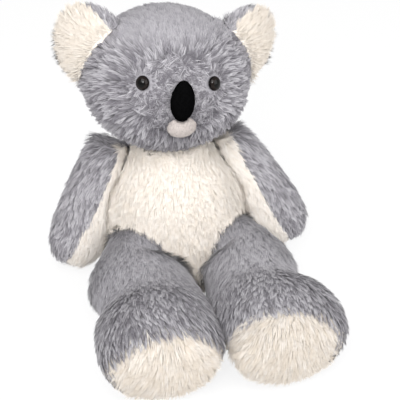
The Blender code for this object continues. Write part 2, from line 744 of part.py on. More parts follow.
def main():
    """Build the koala from the floor up."""
    clear_scene()
    new_collection(KOALA)
    new_collection(CUTTERS)

    front = HIP_FORWARD + LEG_LENGTH
    back = BODY_DEPTH / 2.0
    seat_y = (front - back) / 2.0

    body_pivot = add_pivot("body_pivot", Matrix.Translation(Vector((0.0, seat_y, 0.0))))
    lean = math.tan(BODY_LEAN)
    head_place = Vector((-lean * HEAD_CENTRE_HEIGHT, seat_y - HEAD_FORWARD, HEAD_CENTRE_HEIGHT))
    neck_pivot = add_pivot("neck_pivot", Matrix.Translation(head_place), body_pivot)
    head_turn = Matrix.Rotation(HEAD_TURN, 4, "Z") @ Matrix.Rotation(HEAD_TILT, 4, "Y")
    head_pivot = add_pivot("head_pivot", Matrix.Translation(head_place) @ head_turn, neck_pivot)

    half_height = HEAD_HEIGHT / 2.0
    cup_rings = scaled_rings(HEAD_RING_SHARES, half_height, HEAD_WIDTH / 2.0, HEAD_WIDTH / 2.0)
    cup_mesh = ring_mesh("head_cup", HEAD_SIDES, -half_height, cup_rings, half_height)
    cup = grow(smooth(add_cutter("head_cup", cup_mesh, neck_pivot)), HEAD_GAP)
    wide = BODY_WIDTH + LEG_LENGTH + HIP_FORWARD
    floor_mesh = box_mesh("floor", (-wide, -wide, -OVERRUN), (wide, wide, 0.0))
    floor = add_cutter("floor", floor_mesh, None)

    arm_pivots, leg_pivots, seats, balls = {}, {}, [], {}
    arm_angles = {
        "left": (ARM_SPLAY_LEFT, ARM_FORWARD_LEFT),
        "right": (ARM_SPLAY_RIGHT, ARM_FORWARD_RIGHT),
    }
    for side, sign in (("left", 1.0), ("right", -1.0)):
        shoulder_x = sign * SHOULDER_APART / 2.0 - lean * SHOULDER_HEIGHT
        shoulder = Vector((shoulder_x, seat_y + SHOULDER_BACK, SHOULDER_HEIGHT))
        splay, swing = arm_angles[side]
        hang = Matrix.Rotation(-swing, 4, "X") @ Matrix.Rotation(math.pi - sign * splay, 4, "Y")
        arm_pivots[side] = add_pivot(
            "shoulder_" + side, Matrix.Translation(shoulder) @ hang, body_pivot
        )
        hip = Vector((sign * HIPS_APART / 2.0, seat_y - HIP_FORWARD, HIP_RADIUS - FLOOR_FLAT))
        forward = Matrix.Rotation(LEG_TURN, 4, "Z") @ Matrix.Rotation(math.pi / 2.0, 4, "X")
        leg_pivots[side] = add_pivot("hip_" + side, Matrix.Translation(hip) @ forward, body_pivot)
        for pivot, radius, name in (
            (arm_pivots[side], SHOULDER_RADIUS, "shoulder_"),
            (leg_pivots[side], HIP_RADIUS, "hip_"),
        ):
            hollow = seat_mesh(name + "seat", radius + TURNING_GAP)
            seats.append(add_cutter(name + "seat_" + side, hollow, pivot))
            ball_mesh = sphere_mesh(name + "ball", radius + TURNING_GAP / 2.0)
            balls[name + side] = add_cutter(name + "ball_" + side, ball_mesh, pivot)

    envelope = build_body(body_pivot, neck_pivot, cup, seats, floor)
    for side, sign in (("left", 1.0), ("right", -1.0)):
        pivot, ball = arm_pivots[side], balls["shoulder_" + side]
        hinge, outward = pivot.matrix_world.translation, Vector((0.0, -sign, 0.0))
        room = body_as_limb_turns(
            "arm_room_" + side, envelope, hinge, outward, ARM_CLEARING_SWING, ball
        )
        build_arm(side, sign, pivot, room)
        pivot, ball = leg_pivots[side], balls["hip_" + side]
        hinge, across = pivot.matrix_world.translation, -pivot.matrix_world.col[0].to_3d()
        room = body_as_limb_turns("leg_room_" + side, envelope, hinge, across, LEG_LIFT, ball)
        build_leg(side, sign, pivot, room, floor)
    build_head(head_pivot)
    for piece in bpy.data.collections[KOALA].objects:
        if any(modifier.type == "BOOLEAN" for modifier in piece.modifiers):
            weld(piece)


main()
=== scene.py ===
"""The looks of a seated plush koala: stuffed backings, combed pile, eyes, nose and a plain studio."""
import json
import logging
import math
from dataclasses import dataclass, field, replace
from enum import Enum
from typing import Protocol

import bmesh
import bpy
import numpy as np
from mathutils import Matrix, Vector
from mathutils.bvhtree import BVHTree
from mathutils.kdtree import KDTree


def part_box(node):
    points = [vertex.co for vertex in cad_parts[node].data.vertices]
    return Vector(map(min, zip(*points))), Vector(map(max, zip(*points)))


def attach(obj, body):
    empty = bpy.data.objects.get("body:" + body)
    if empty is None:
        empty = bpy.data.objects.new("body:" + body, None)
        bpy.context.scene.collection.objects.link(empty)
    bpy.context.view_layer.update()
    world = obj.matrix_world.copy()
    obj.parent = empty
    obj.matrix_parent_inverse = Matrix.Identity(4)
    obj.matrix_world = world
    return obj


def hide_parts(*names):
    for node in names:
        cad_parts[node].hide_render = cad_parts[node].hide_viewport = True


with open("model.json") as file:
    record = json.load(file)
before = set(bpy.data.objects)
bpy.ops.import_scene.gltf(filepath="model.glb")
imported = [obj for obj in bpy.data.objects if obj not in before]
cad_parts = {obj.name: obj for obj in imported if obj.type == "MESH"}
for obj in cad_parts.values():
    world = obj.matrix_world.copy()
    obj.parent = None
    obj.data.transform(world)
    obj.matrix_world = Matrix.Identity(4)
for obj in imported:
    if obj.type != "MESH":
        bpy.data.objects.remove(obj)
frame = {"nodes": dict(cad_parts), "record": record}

Array = np.ndarray
Colour = tuple[float, float, float]
Range = tuple[float, float]
Value = bpy.types.NodeSocket | float
Paint = bpy.types.NodeSocket | Colour

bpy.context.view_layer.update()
LOG = logging.getLogger("plush_koala")

# The floor lies a little under the toy, so that the two share no plane.
FLOOR_DROP = 0.0006
# A lock has a point at its root, one ring of three corners and a point at its tip.
STEPS = np.array((0.0, 0.5, 1.0))
# Six triangles a lock keep a piece of this many locks under 200,000 triangles.
MOST_LOCKS = 31000
# How much clumps and single locks vary in size, lift and tone.
CLUMP_SIZES: Range = (0.8, 1.2)
LOCK_SIZES: Range = (0.82, 1.15)
LOCK_LIFTS: Range = (0.8, 1.2)
CLUMP_TONES: Range = (-0.60, 0.34)
LOCK_TONES: Range = (-0.45, 0.25)
# How weakly and how strongly a clump may gather its locks.
PULL_LIMITS: Range = (0.12, 0.8)
# Slow changes over a panel: the width of a patch, and how far tone and lie change with it.
TONE_PATCH = 0.045
PATCH_TONE = 0.10
LIE_PATCH = 0.030
PATCH_TURN = 0.20
# Roots start a little inside the backing, and no lock reaches lower than just above the floor.
ROOT_SINK = 0.0008
LOWEST = 0.0004


class Side(Enum):
    """The koala's own left and right."""

    LEFT = "left"
    RIGHT = "right"

    @property
    def sign(self) -> float:
        """Which way the side lies along X."""
        return 1.0 if self is Side.LEFT else -1.0

    @property
    def other(self) -> "Side":
        """The opposite side."""
        return Side.RIGHT if self is Side.LEFT else Side.LEFT


# Small helpers


def unit(vectors: Array) -> Array:
    """Scale vectors to length one.

    Args:
        vectors: Rows of vectors.

    Returns:
        The same directions with length one.
    """
    return vectors / np.maximum(np.linalg.norm(vectors, axis=-1, keepdims=True), 1e-9)


def ease(low: float, high: float, values: Array) -> Array:
    """A smooth step from 0 at low to 1 at high.

    Args:
        low: Where the step starts.
        high: Where the step ends.
        values: Where it is read.

    Returns:
        The step at each value.
    """
    share = np.clip((values - low) / (high - low), 0.0, 1.0)
    return share * share * (3.0 - 2.0 * share)


def waves(places: Array, size: float, seed: int) -> Array:
    """A slow pattern over space, like clouds.

    Args:
        places: Points in metres.
        size: The pattern's typical width in metres.
        seed: Chooses the pattern.

    Returns:
        A number from about -1 to 1 at each point.
    """
    rng = np.random.default_rng(seed)
    total = np.zeros(len(places))
    for _ in range(6):
        direction = rng.normal(size=3) * math.tau / (size * 2.5)
        total += np.sin(places @ direction + rng.uniform(0.0, math.tau))
    return total / 3.0


def tangent(directions: Array, normals: Array) -> Array:
    """Lay directions into the surface.

    Args:
        directions: Directions in space.
        normals: The surface's normals.

    Returns:
        The directions along the surface, with length one.
    """
    flat = directions - normals * np.sum(directions * normals, axis=1, keepdims=True)
    small = np.linalg.norm(flat, axis=1) < 1e-6
    flat[small] = np.cross(normals[small], (0.0, 0.0, 1.0)) + (1e-6, 0.0, 0.0)
    return unit(flat)


def finish_piece(obj: bpy.types.Object, body: str, material: bpy.types.Material,
                 replaced: tuple[str, ...] = ()) -> bpy.types.Object:
    """Dress a piece and fix it to its body.

    Args:
        obj: The piece.
        body: The CAD body that carries it.
        material: The piece's finish.
        replaced: The CAD nodes that it stands for.

    Returns:
        The piece.
    """
    obj.data.materials.clear()
    obj.data.materials.append(material)
    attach(obj, body)
    if replaced:
        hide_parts(*replaced)
    LOG.info("%s: %d faces on %s", obj.name, len(obj.data.polygons), body)
    return obj


def read(mesh: bpy.types.Mesh, key: str) -> Array:
    """The places or normals of a mesh's points.

    Args:
        mesh: The mesh.
        key: co or normal.

    Returns:
        One row per point.
    """
    values = np.empty(len(mesh.vertices) * 3)
    mesh.vertices.foreach_get(key, values)
    return values.reshape(-1, 3)


def hold(mesh: bpy.types.Mesh, key: str, values: Array) -> None:
    """Store a number at each point of a mesh, for its finish to read.

    Args:
        mesh: The mesh.
        key: The attribute's name.
        values: One number per point.
    """
    held = mesh.attributes.new(key, "FLOAT", "POINT")
    held.data.foreach_set("value", values.astype(np.float32))


def node_mesh(name: str) -> bpy.types.Mesh:
    """The mesh of a CAD node."""
    return frame["nodes"][name].data


def centre_of(name: str) -> Vector:
    """The middle of a CAD node's box."""
    low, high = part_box(name)
    return (low + high) / 2.0


def joint_place(child: str) -> Vector:
    """Where the joint that carries a body turns."""
    joints = frame["record"]["behaviour"]["joints"]
    return Vector(next(joint for joint in joints if joint["child"] == child)["pos_m"])


def tree_of(names: tuple[str, ...]) -> BVHTree:
    """A search tree over the faces of CAD nodes.

    Args:
        names: The nodes.

    Returns:
        The tree.
    """
    corners: list[Vector] = []
    faces: list[tuple[int, ...]] = []
    for name in names:
        start = len(corners)
        mesh = node_mesh(name)
        corners += [vert.co.copy() for vert in mesh.vertices]
        faces += [tuple(start + i for i in face.vertices) for face in mesh.polygons]
    return BVHTree.FromPolygons(corners, faces)


def nearest_rows(places: Array, targets: Array) -> tuple[Array, Array]:
    """Find each place's nearest target.

    Args:
        places: The places.
        targets: The points to search.

    Returns:
        The row of the nearest target and its distance, for each place.
    """
    finder = KDTree(len(targets))
    for i, target in enumerate(targets):
        finder.insert(Vector(target), i)
    finder.balance()
    found = [finder.find(Vector(place)) for place in places]
    return np.array([hit[1] for hit in found]), np.array([hit[2] for hit in found])


# Finishes


class Finish(Protocol):
    """What a piece can be dressed in."""

    name: str

    def material(self) -> bpy.types.Material:
        """Build the material."""


class Shade:
    """A material's node tree under construction."""

    def __init__(self, name: str) -> None:
        """Start a Principled material.

        Args:
            name: The material's name.
        """
        self.material = bpy.data.materials.new(name)
        self.material.use_nodes = True
        self.tree = self.material.node_tree
        self.shader = self.tree.nodes["Principled BSDF"]

    def node(self, kind: str, **values: object) -> bpy.types.Node:
        """Add a node and set its own properties.

        Args:
            kind: The node's type.
            values: Its properties.

        Returns:
            The node.
        """
        made = self.tree.nodes.new(kind)
        for key, value in values.items():
            setattr(made, key, value)
        return made

    def link(self, source: bpy.types.NodeSocket, target: bpy.types.NodeSocket) -> None:
        """Join two sockets."""
        self.tree.links.new(source, target)

    def attribute(self, name: str) -> bpy.types.NodeSocket:
        """The value that each point of the piece carries under a name."""
        return self.node("ShaderNodeAttribute", attribute_name=name).outputs["Fac"]

    def maths(self, operation: str, first: Value, second: Value = 0.0) -> bpy.types.NodeSocket:
        """One sum on sockets or numbers.

        Args:
            operation: The kind of sum.
            first: The first socket or number.
            second: The second.

        Returns:
            The result's socket.
        """
        made = self.node("ShaderNodeMath", operation=operation)
        for socket, value in zip(made.inputs, (first, second)):
            if isinstance(value, bpy.types.NodeSocket):
                self.link(value, socket)
            else:
                socket.default_value = value
        return made.outputs[0]

    def ramp(self, source: bpy.types.NodeSocket, stops: tuple[tuple[float, Colour], ...]
             ) -> bpy.types.NodeSocket:
        """Colours along a value.

        Args:
            source: The value.
            stops: Places and linear colours.

        Returns:
            The colour's socket.
        """
        made = self.node("ShaderNodeValToRGB")
        elements = made.color_ramp.elements
        while len(elements) < len(stops):
            elements.new(0.5)
        for element, (place, colour) in zip(elements, stops):
            element.position = place
            element.color = (*colour, 1.0)
        self.link(source, made.inputs["Fac"])
        return made.outputs["Color"]

    def mix(self, share: Value, first: Paint, second: Paint, blend: str = "MIX"
            ) -> bpy.types.NodeSocket:
        """Mix two colours.

        Args:
            share: How much of the second.
            first: The first colour or socket.
            second: The second.
            blend: The way of mixing.

        Returns:
            The colour's socket.
        """
        made = self.node("ShaderNodeMix", data_type="RGBA", blend_type=blend)
        for socket, value in ((made.inputs[0], share), (made.inputs[6], first),
                              (made.inputs[7], second)):
            if isinstance(value, bpy.types.NodeSocket):
                self.link(value, socket)
            else:
                socket.default_value = value if isinstance(value, float) else (*value, 1.0)
        return made.outputs[2]

    def noise(self, scale: float, detail: float = 3.0) -> bpy.types.NodeSocket:
        """Noise in the piece's own space.

        Args:
            scale: How fine it is.
            detail: How many finer layers it has.

        Returns:
            The value's socket.
        """
        place = self.node("ShaderNodeTexCoord")
        made = self.node("ShaderNodeTexNoise")
        made.inputs["Scale"].default_value = scale
        made.inputs["Detail"].default_value = detail
        self.link(place.outputs["Object"], made.inputs["Vector"])
        return made.outputs["Fac"]

    def bump(self, height: bpy.types.NodeSocket, distance: float, strength: float) -> None:
        """Small relief on the surface.

        Args:
            height: The relief's value.
            distance: Its height in metres.
            strength: How much of it shows.
        """
        made = self.node("ShaderNodeBump")
        made.inputs["Distance"].default_value = distance
        made.inputs["Strength"].default_value = strength
        self.link(height, made.inputs["Height"])
        self.link(made.outputs["Normal"], self.shader.inputs["Normal"])


@dataclass(frozen=True)
class PileFinish:
    """Pile that is darker at its roots, partly by colour and partly as painted shade, and varies from
    tuft to tuft.
    """

    name: str
    root: Colour
    middle: Colour
    tip: Colour
    dark_tuft: Colour
    sheen: float
    specular: float = 0.1

    def material(self) -> bpy.types.Material:
        """Build the material.

        Returns:
            The material.
        """
        shade = Shade(self.name)
        # The dark roots are partly the pile's own colour and partly painted shade deep in the pile.
        along = shade.attribute("along")
        colour = shade.ramp(along, ((0.0, self.root), (0.45, self.middle), (1.0, self.tip)))
        tone = shade.attribute("tone")
        colour = shade.mix(tone, shade.mix(1.0, colour, self.dark_tuft, "MULTIPLY"), colour)
        shade.link(colour, shade.shader.inputs["Base Color"])
        shade.shader.inputs["Roughness"].default_value = 0.82
        shade.shader.inputs["Specular IOR Level"].default_value = self.specular
        shade.shader.inputs["Sheen Weight"].default_value = self.sheen
        shade.shader.inputs["Sheen Roughness"].default_value = 0.5
        return shade.material


@dataclass(frozen=True)
class BackingFinish:
    """Knitted backing and the dense roots of the pile, grey or pale by the panel above it."""

    name: str
    dark: Colour
    light: Colour
    pale_dark: Colour = (0.84, 0.77, 0.68)
    pale_light: Colour = (0.92, 0.87, 0.80)

    def material(self) -> bpy.types.Material:
        """Build the material.

        Returns:
            The material.
        """
        shade = Shade(self.name)
        grain = shade.noise(900.0, 2.0)
        colour = shade.ramp(grain, ((0.35, self.dark), (0.65, self.light)))
        pale = shade.ramp(grain, ((0.35, self.pale_dark), (0.65, self.pale_light)))
        colour = shade.mix(shade.attribute("pale"), colour, pale)
        shade.link(colour, shade.shader.inputs["Base Color"])
        shade.shader.inputs["Roughness"].default_value = 0.95
        shade.shader.inputs["Specular IOR Level"].default_value = 0.1
        shade.bump(grain, 0.0006, 0.8)
        return shade.material


@dataclass(frozen=True)
class FlockFinish:
    """Dense black flock with a faint lighter grain."""

    name: str = "flock"
    colour: Colour = (0.0015, 0.0015, 0.0015)
    lint: Colour = (0.004, 0.004, 0.0045)

    def material(self) -> bpy.types.Material:
        """Build the material.

        Returns:
            The material.
        """
        shade = Shade(self.name)
        grain = shade.noise(2600.0, 2.0)
        shade.link(shade.ramp(grain, ((0.4, self.colour), (0.7, self.lint))),
                   shade.shader.inputs["Base Color"])
        shade.shader.inputs["Roughness"].default_value = 1.0
        shade.shader.inputs["Specular IOR Level"].default_value = 0.0
        shade.bump(grain, 0.0003, 0.7)
        return shade.material


@dataclass(frozen=True)
class EyeFinish:
    """Polished dark plastic with a deep brown ring round a black pupil."""

    name: str = "eye_gloss"
    pupil: Colour = (0.0008, 0.0006, 0.0006)
    ring: Colour = (0.007, 0.004, 0.003)
    edge: Colour = (0.003, 0.002, 0.002)

    def material(self) -> bpy.types.Material:
        """Build the material.

        Returns:
            The material.
        """
        shade = Shade(self.name)
        out = shade.attribute("out")
        stops = ((0.0, self.pupil), (0.52, self.pupil), (0.62, self.ring), (0.86, self.ring),
                 (0.95, self.edge))
        shade.link(shade.ramp(out, stops), shade.shader.inputs["Base Color"])
        shade.shader.inputs["Roughness"].default_value = 0.07
        shade.shader.inputs["Specular IOR Level"].default_value = 0.2
        return shade.material


GREY_PILE = PileFinish(
    "grey_pile", root=(0.13, 0.125, 0.135), middle=(0.355, 0.345, 0.365),
    tip=(0.61, 0.595, 0.624), dark_tuft=(0.36, 0.35, 0.37), sheen=0.1)
CREAM_PILE = PileFinish(
    "cream_pile", root=(0.78, 0.71, 0.63), middle=(0.845, 0.79, 0.73),
    tip=(0.87, 0.825, 0.775), dark_tuft=(0.90, 0.85, 0.78), sheen=0.05)
# A darker copy of the cream pile: painted shade on the soles.
SHADED_SOLE_PILE = PileFinish(
    "sole_pile", root=(0.62, 0.56, 0.50), middle=(0.68, 0.635, 0.59),
    tip=(0.71, 0.675, 0.635), dark_tuft=(0.87, 0.82, 0.75), sheen=0.05)
# A darker copy of the cream pile: painted shade on the ears' cream fronts.
SHADED_EAR_PILE = PileFinish(
    "ear_pile", root=(0.65, 0.585, 0.515), middle=(0.72, 0.665, 0.605),
    tip=(0.75, 0.70, 0.645), dark_tuft=(0.90, 0.86, 0.80), sheen=0.05)
CHIN_PILE = PileFinish(
    "chin_pile", root=(0.46, 0.42, 0.395), middle=(0.53, 0.48, 0.455),
    tip=(0.585, 0.535, 0.505), dark_tuft=(0.94, 0.92, 0.91), sheen=0.1)
NOSE_PILE = PileFinish(
    "nose_pile", root=(0.0006, 0.0006, 0.0006), middle=(0.0008, 0.0008, 0.0008),
    tip=(0.0012, 0.0012, 0.0012), dark_tuft=(0.8, 0.8, 0.8), sheen=0.0, specular=0.0)
GREY_BACKING = BackingFinish("grey_backing", (0.24, 0.23, 0.25), (0.34, 0.33, 0.35))
CREAM_BACKING = BackingFinish("cream_backing", (0.74, 0.66, 0.57), (0.84, 0.77, 0.69))
WHITE_BACKING = BackingFinish("white_backing", (0.38, 0.34, 0.33), (0.45, 0.41, 0.39))
FLOCK = FlockFinish()
EYE = EyeFinish()


# Backings


@dataclass
class Seam:
    """Where one panel gives way to its neighbour, once the pile lies over the stitching.

    Attributes:
        node: The first panel.
        rival: Its neighbour.
        shift: How far past the stitching the first panel's pile reaches.
        lean: How fast that changes with the place.
        taken: The middle and radius of a ball in which all is the neighbour's.
        outside: What such a place counts as, in metres from the border.
    """

    node: str
    rival: str
    shift: float = 0.0
    lean: Vector = field(default_factory=Vector)
    taken: tuple[Vector, float] | None = None
    outside: float = -0.010

    def __post_init__(self) -> None:
        """Make both panels ready to be measured."""
        self.own = tree_of((self.node,))
        self.other = tree_of((self.rival,))
        self.middle = centre_of(self.node)

    def ahead(self, place: Vector) -> float:
        """How far a place lies inside the first panel.

        Args:
            place: The place.

        Returns:
            Metres from the border, less than zero on the neighbour's side.
        """
        if self.taken is not None and (place - self.taken[0]).length < self.taken[1]:
            return self.outside
        ahead = self.other.find_nearest(place)[3] - self.own.find_nearest(place)[3]
        return ahead + self.shift + self.lean.dot(place - self.middle)


@dataclass
class Backing:
    """A stuffed form under the pile, drawn in from the CAD skin where no neighbour presses on it.

    Attributes:
        name: The backing's name.
        nodes: The CAD nodes whose form it takes.
        neighbours: The CAD nodes that press on it.
        pale: The seam of its pale panel.
        inset: How far it lies under the CAD skin.
        pressed: The same where a neighbour presses on it.
        press_reach: How near and how far a neighbour starts and stops to press.
        search: How far off neighbours are looked for.
        pale_edge: Where the backing turns pale, in metres from the seam.
        voxel: The size of the remeshed form's faces.
        rounding: How often it is smoothed.
    """

    name: str
    nodes: tuple[str, ...]
    neighbours: tuple[str, ...] = ()
    pale: Seam | None = None
    inset: float = 0.0045
    pressed: float = 0.0014
    press_reach: Range = (0.0020, 0.0120)
    search: float = 0.03
    pale_edge: Range = (-0.003, 0.001)
    voxel: float = 0.0045
    rounding: int = 5

    def build(self) -> bpy.types.Object:
        """Fill, round off and draw in the CAD nodes' form.

        Returns:
            The backing, as one closed mesh.
        """
        bm = bmesh.new()
        for node in self.nodes:
            bm.from_mesh(node_mesh(node))
        bmesh.ops.remove_doubles(bm, verts=bm.verts, dist=1e-6)
        mesh = bpy.data.meshes.new(self.name)
        bm.to_mesh(mesh)
        bm.free()
        obj = bpy.data.objects.new(self.name, mesh)
        bpy.context.scene.collection.objects.link(obj)
        remesh = obj.modifiers.new("fill", "REMESH")
        remesh.mode = "VOXEL"
        remesh.voxel_size = self.voxel
        self.round_off(obj)
        self.keep_largest(obj.data)
        self.draw_in(obj.data)
        self.round_off(obj)
        self.mark_pale(obj.data)
        obj.data.shade_smooth()
        return obj

    def mark_pale(self, mesh: bpy.types.Mesh) -> None:
        """Note which of the backing's points lie under a pale panel.

        Args:
            mesh: The backing's mesh.
        """
        places = read(mesh, "co")
        share = np.zeros(len(places))
        if self.pale is not None:
            ahead = [self.pale.ahead(Vector(place)) for place in places]
            share = ease(*self.pale_edge, np.array(ahead))
        hold(mesh, "pale", share)

    def round_off(self, obj: bpy.types.Object) -> None:
        """Smooth the form and put the result in its mesh.

        Args:
            obj: The backing.
        """
        rounding = obj.modifiers.new("round", "SMOOTH")
        rounding.iterations = self.rounding
        rounding.factor = 0.5
        bpy.context.view_layer.update()
        evaluated = obj.evaluated_get(bpy.context.evaluated_depsgraph_get())
        made = bpy.data.meshes.new_from_object(evaluated)
        obj.modifiers.clear()
        obj.data = made
        made.name = self.name

    def draw_in(self, mesh: bpy.types.Mesh) -> None:
        """Move the surface in by the pile's height, and less where a neighbour presses on it.

        Args:
            mesh: The mesh to move.
        """
        places, normals = read(mesh, "co"), read(mesh, "normal")
        depth = np.full(len(places), self.inset)
        if self.neighbours:
            tree = tree_of(self.neighbours)
            far = [tree.find_nearest(Vector(place), self.search)[3] for place in places]
            gap = np.array([self.search if found is None else found for found in far])
            free = ease(*self.press_reach, gap)
            depth = self.pressed + (self.inset - self.pressed) * free
        mesh.vertices.foreach_set("co", (places - normals * depth[:, None]).ravel())
        mesh.update()

    @staticmethod
    def keep_largest(mesh: bpy.types.Mesh) -> None:
        """Remove the small shells that pockets inside the stuffing leave.

        Args:
            mesh: The mesh to clean.
        """
        bm = bmesh.new()
        bm.from_mesh(mesh)
        bm.verts.ensure_lookup_table()
        seen: set[int] = set()
        shells: list[list[bmesh.types.BMVert]] = []
        for start in bm.verts:
            if start.index in seen:
                continue
            shell, queue = [], [start]
            seen.add(start.index)
            while queue:
                vert = queue.pop()
                shell.append(vert)
                for edge in vert.link_edges:
                    other = edge.other_vert(vert)
                    if other.index not in seen:
                        seen.add(other.index)
                        queue.append(other)
            shells.append(shell)
        shells.sort(key=len)
        small = [vert for shell in shells[:-1] for vert in shell]
        bmesh.ops.delete(bm, geom=small, context="VERTS")
        bm.to_mesh(mesh)
        bm.free()


# Pile


@dataclass
class Combed:
    """How the pile lies at each root.

    Attributes:
        lie: Which way it runs.
        length: Its share of the style's length.
        lift: Its share of the style's lift.
        mess: How far its locks stray, from 0 for none.
        depth: How deep its clumps and how strong its changes of tone are.
    """

    lie: Array
    length: Array
    lift: Array
    mess: Array
    depth: Array


class Comb(Protocol):
    """What lays the pile of one panel."""

    def lay(self, places: Array, normals: Array) -> Combed:
        """Say how the pile lies at each root."""


@dataclass(frozen=True)
class PileStyle:
    """The pile's measures.

    Attributes:
        length: A lock's length.
        lift: The share of its length by which a lock rises.
        width: A lock's width.
        thickness: A lock's thickness.
        spacing: The mean distance between roots.
        clump: The mean distance between clumps.
        pull: How strongly a clump gathers its locks.
        wander: How far locks turn from their lie, in radians.
        curl: How far a lock sways sideways.
        contrast: How much the tone varies.
        softness: How far the shading follows the panel instead of the lock.
        trim: The share of its length that a lock has at the panel's border.
        tone: How light the pile is, from 0 to 1.
        stand: How much more a lock rises where a neighbour presses on the panel.
        seed: Chooses the draws.
    """

    length: float = 0.0190
    lift: float = 0.22
    width: float = 0.00085
    thickness: float = 0.0003
    spacing: float = 0.00122
    clump: float = 0.0036
    pull: float = 0.62
    wander: float = 0.15
    curl: float = 0.0005
    contrast: float = 1.0
    softness: float = 0.65
    trim: float = 0.6
    tone: float = 0.66
    stand: float = 0.0
    seed: int = 1

    def on(self, side: Side) -> "PileStyle":
        """The same pile with a side's own draws."""
        return replace(self, seed=self.seed + int(side.sign))


@dataclass
class Surface:
    """A backing's triangles, ready to be planted."""

    corners: Array
    normals: Array
    triangles: Array

    @classmethod
    def of(cls, obj: bpy.types.Object) -> "Surface":
        """Read a mesh.

        Args:
            obj: The backing.

        Returns:
            Its surface.
        """
        mesh = obj.data
        mesh.calc_loop_triangles()
        triangles = np.empty(len(mesh.loop_triangles) * 3, np.int32)
        mesh.loop_triangles.foreach_get("vertices", triangles)
        return cls(read(mesh, "co"), read(mesh, "normal"), triangles.reshape(-1, 3))

    def scatter(self, spacing: float, seed: int) -> tuple[Array, Array]:
        """Spread points evenly at random.

        Args:
            spacing: The mean distance between points.
            seed: Chooses the points.

        Returns:
            The points and the surface's normals there.
        """
        rng = np.random.default_rng(seed)
        a, b, c = (self.corners[self.triangles[:, i]] for i in range(3))
        area = np.linalg.norm(np.cross(b - a, c - a), axis=1) / 2.0
        count = int(area.sum() / spacing ** 2)
        steps = (np.arange(count) + rng.uniform(size=count)) / count
        chosen = np.searchsorted(np.cumsum(area) / area.sum(), steps)
        chosen = np.clip(chosen, 0, len(area) - 1)
        u, v = rng.uniform(size=(2, count, 1))
        over = (u + v) > 1.0
        u, v = np.where(over, 1.0 - u, u), np.where(over, 1.0 - v, v)
        shares = (1.0 - u - v, u, v)
        corner = self.triangles[chosen]
        places = sum(share * self.corners[corner[:, i]] for i, share in enumerate(shares))
        normals = sum(share * self.normals[corner[:, i]] for i, share in enumerate(shares))
        return places, unit(normals)


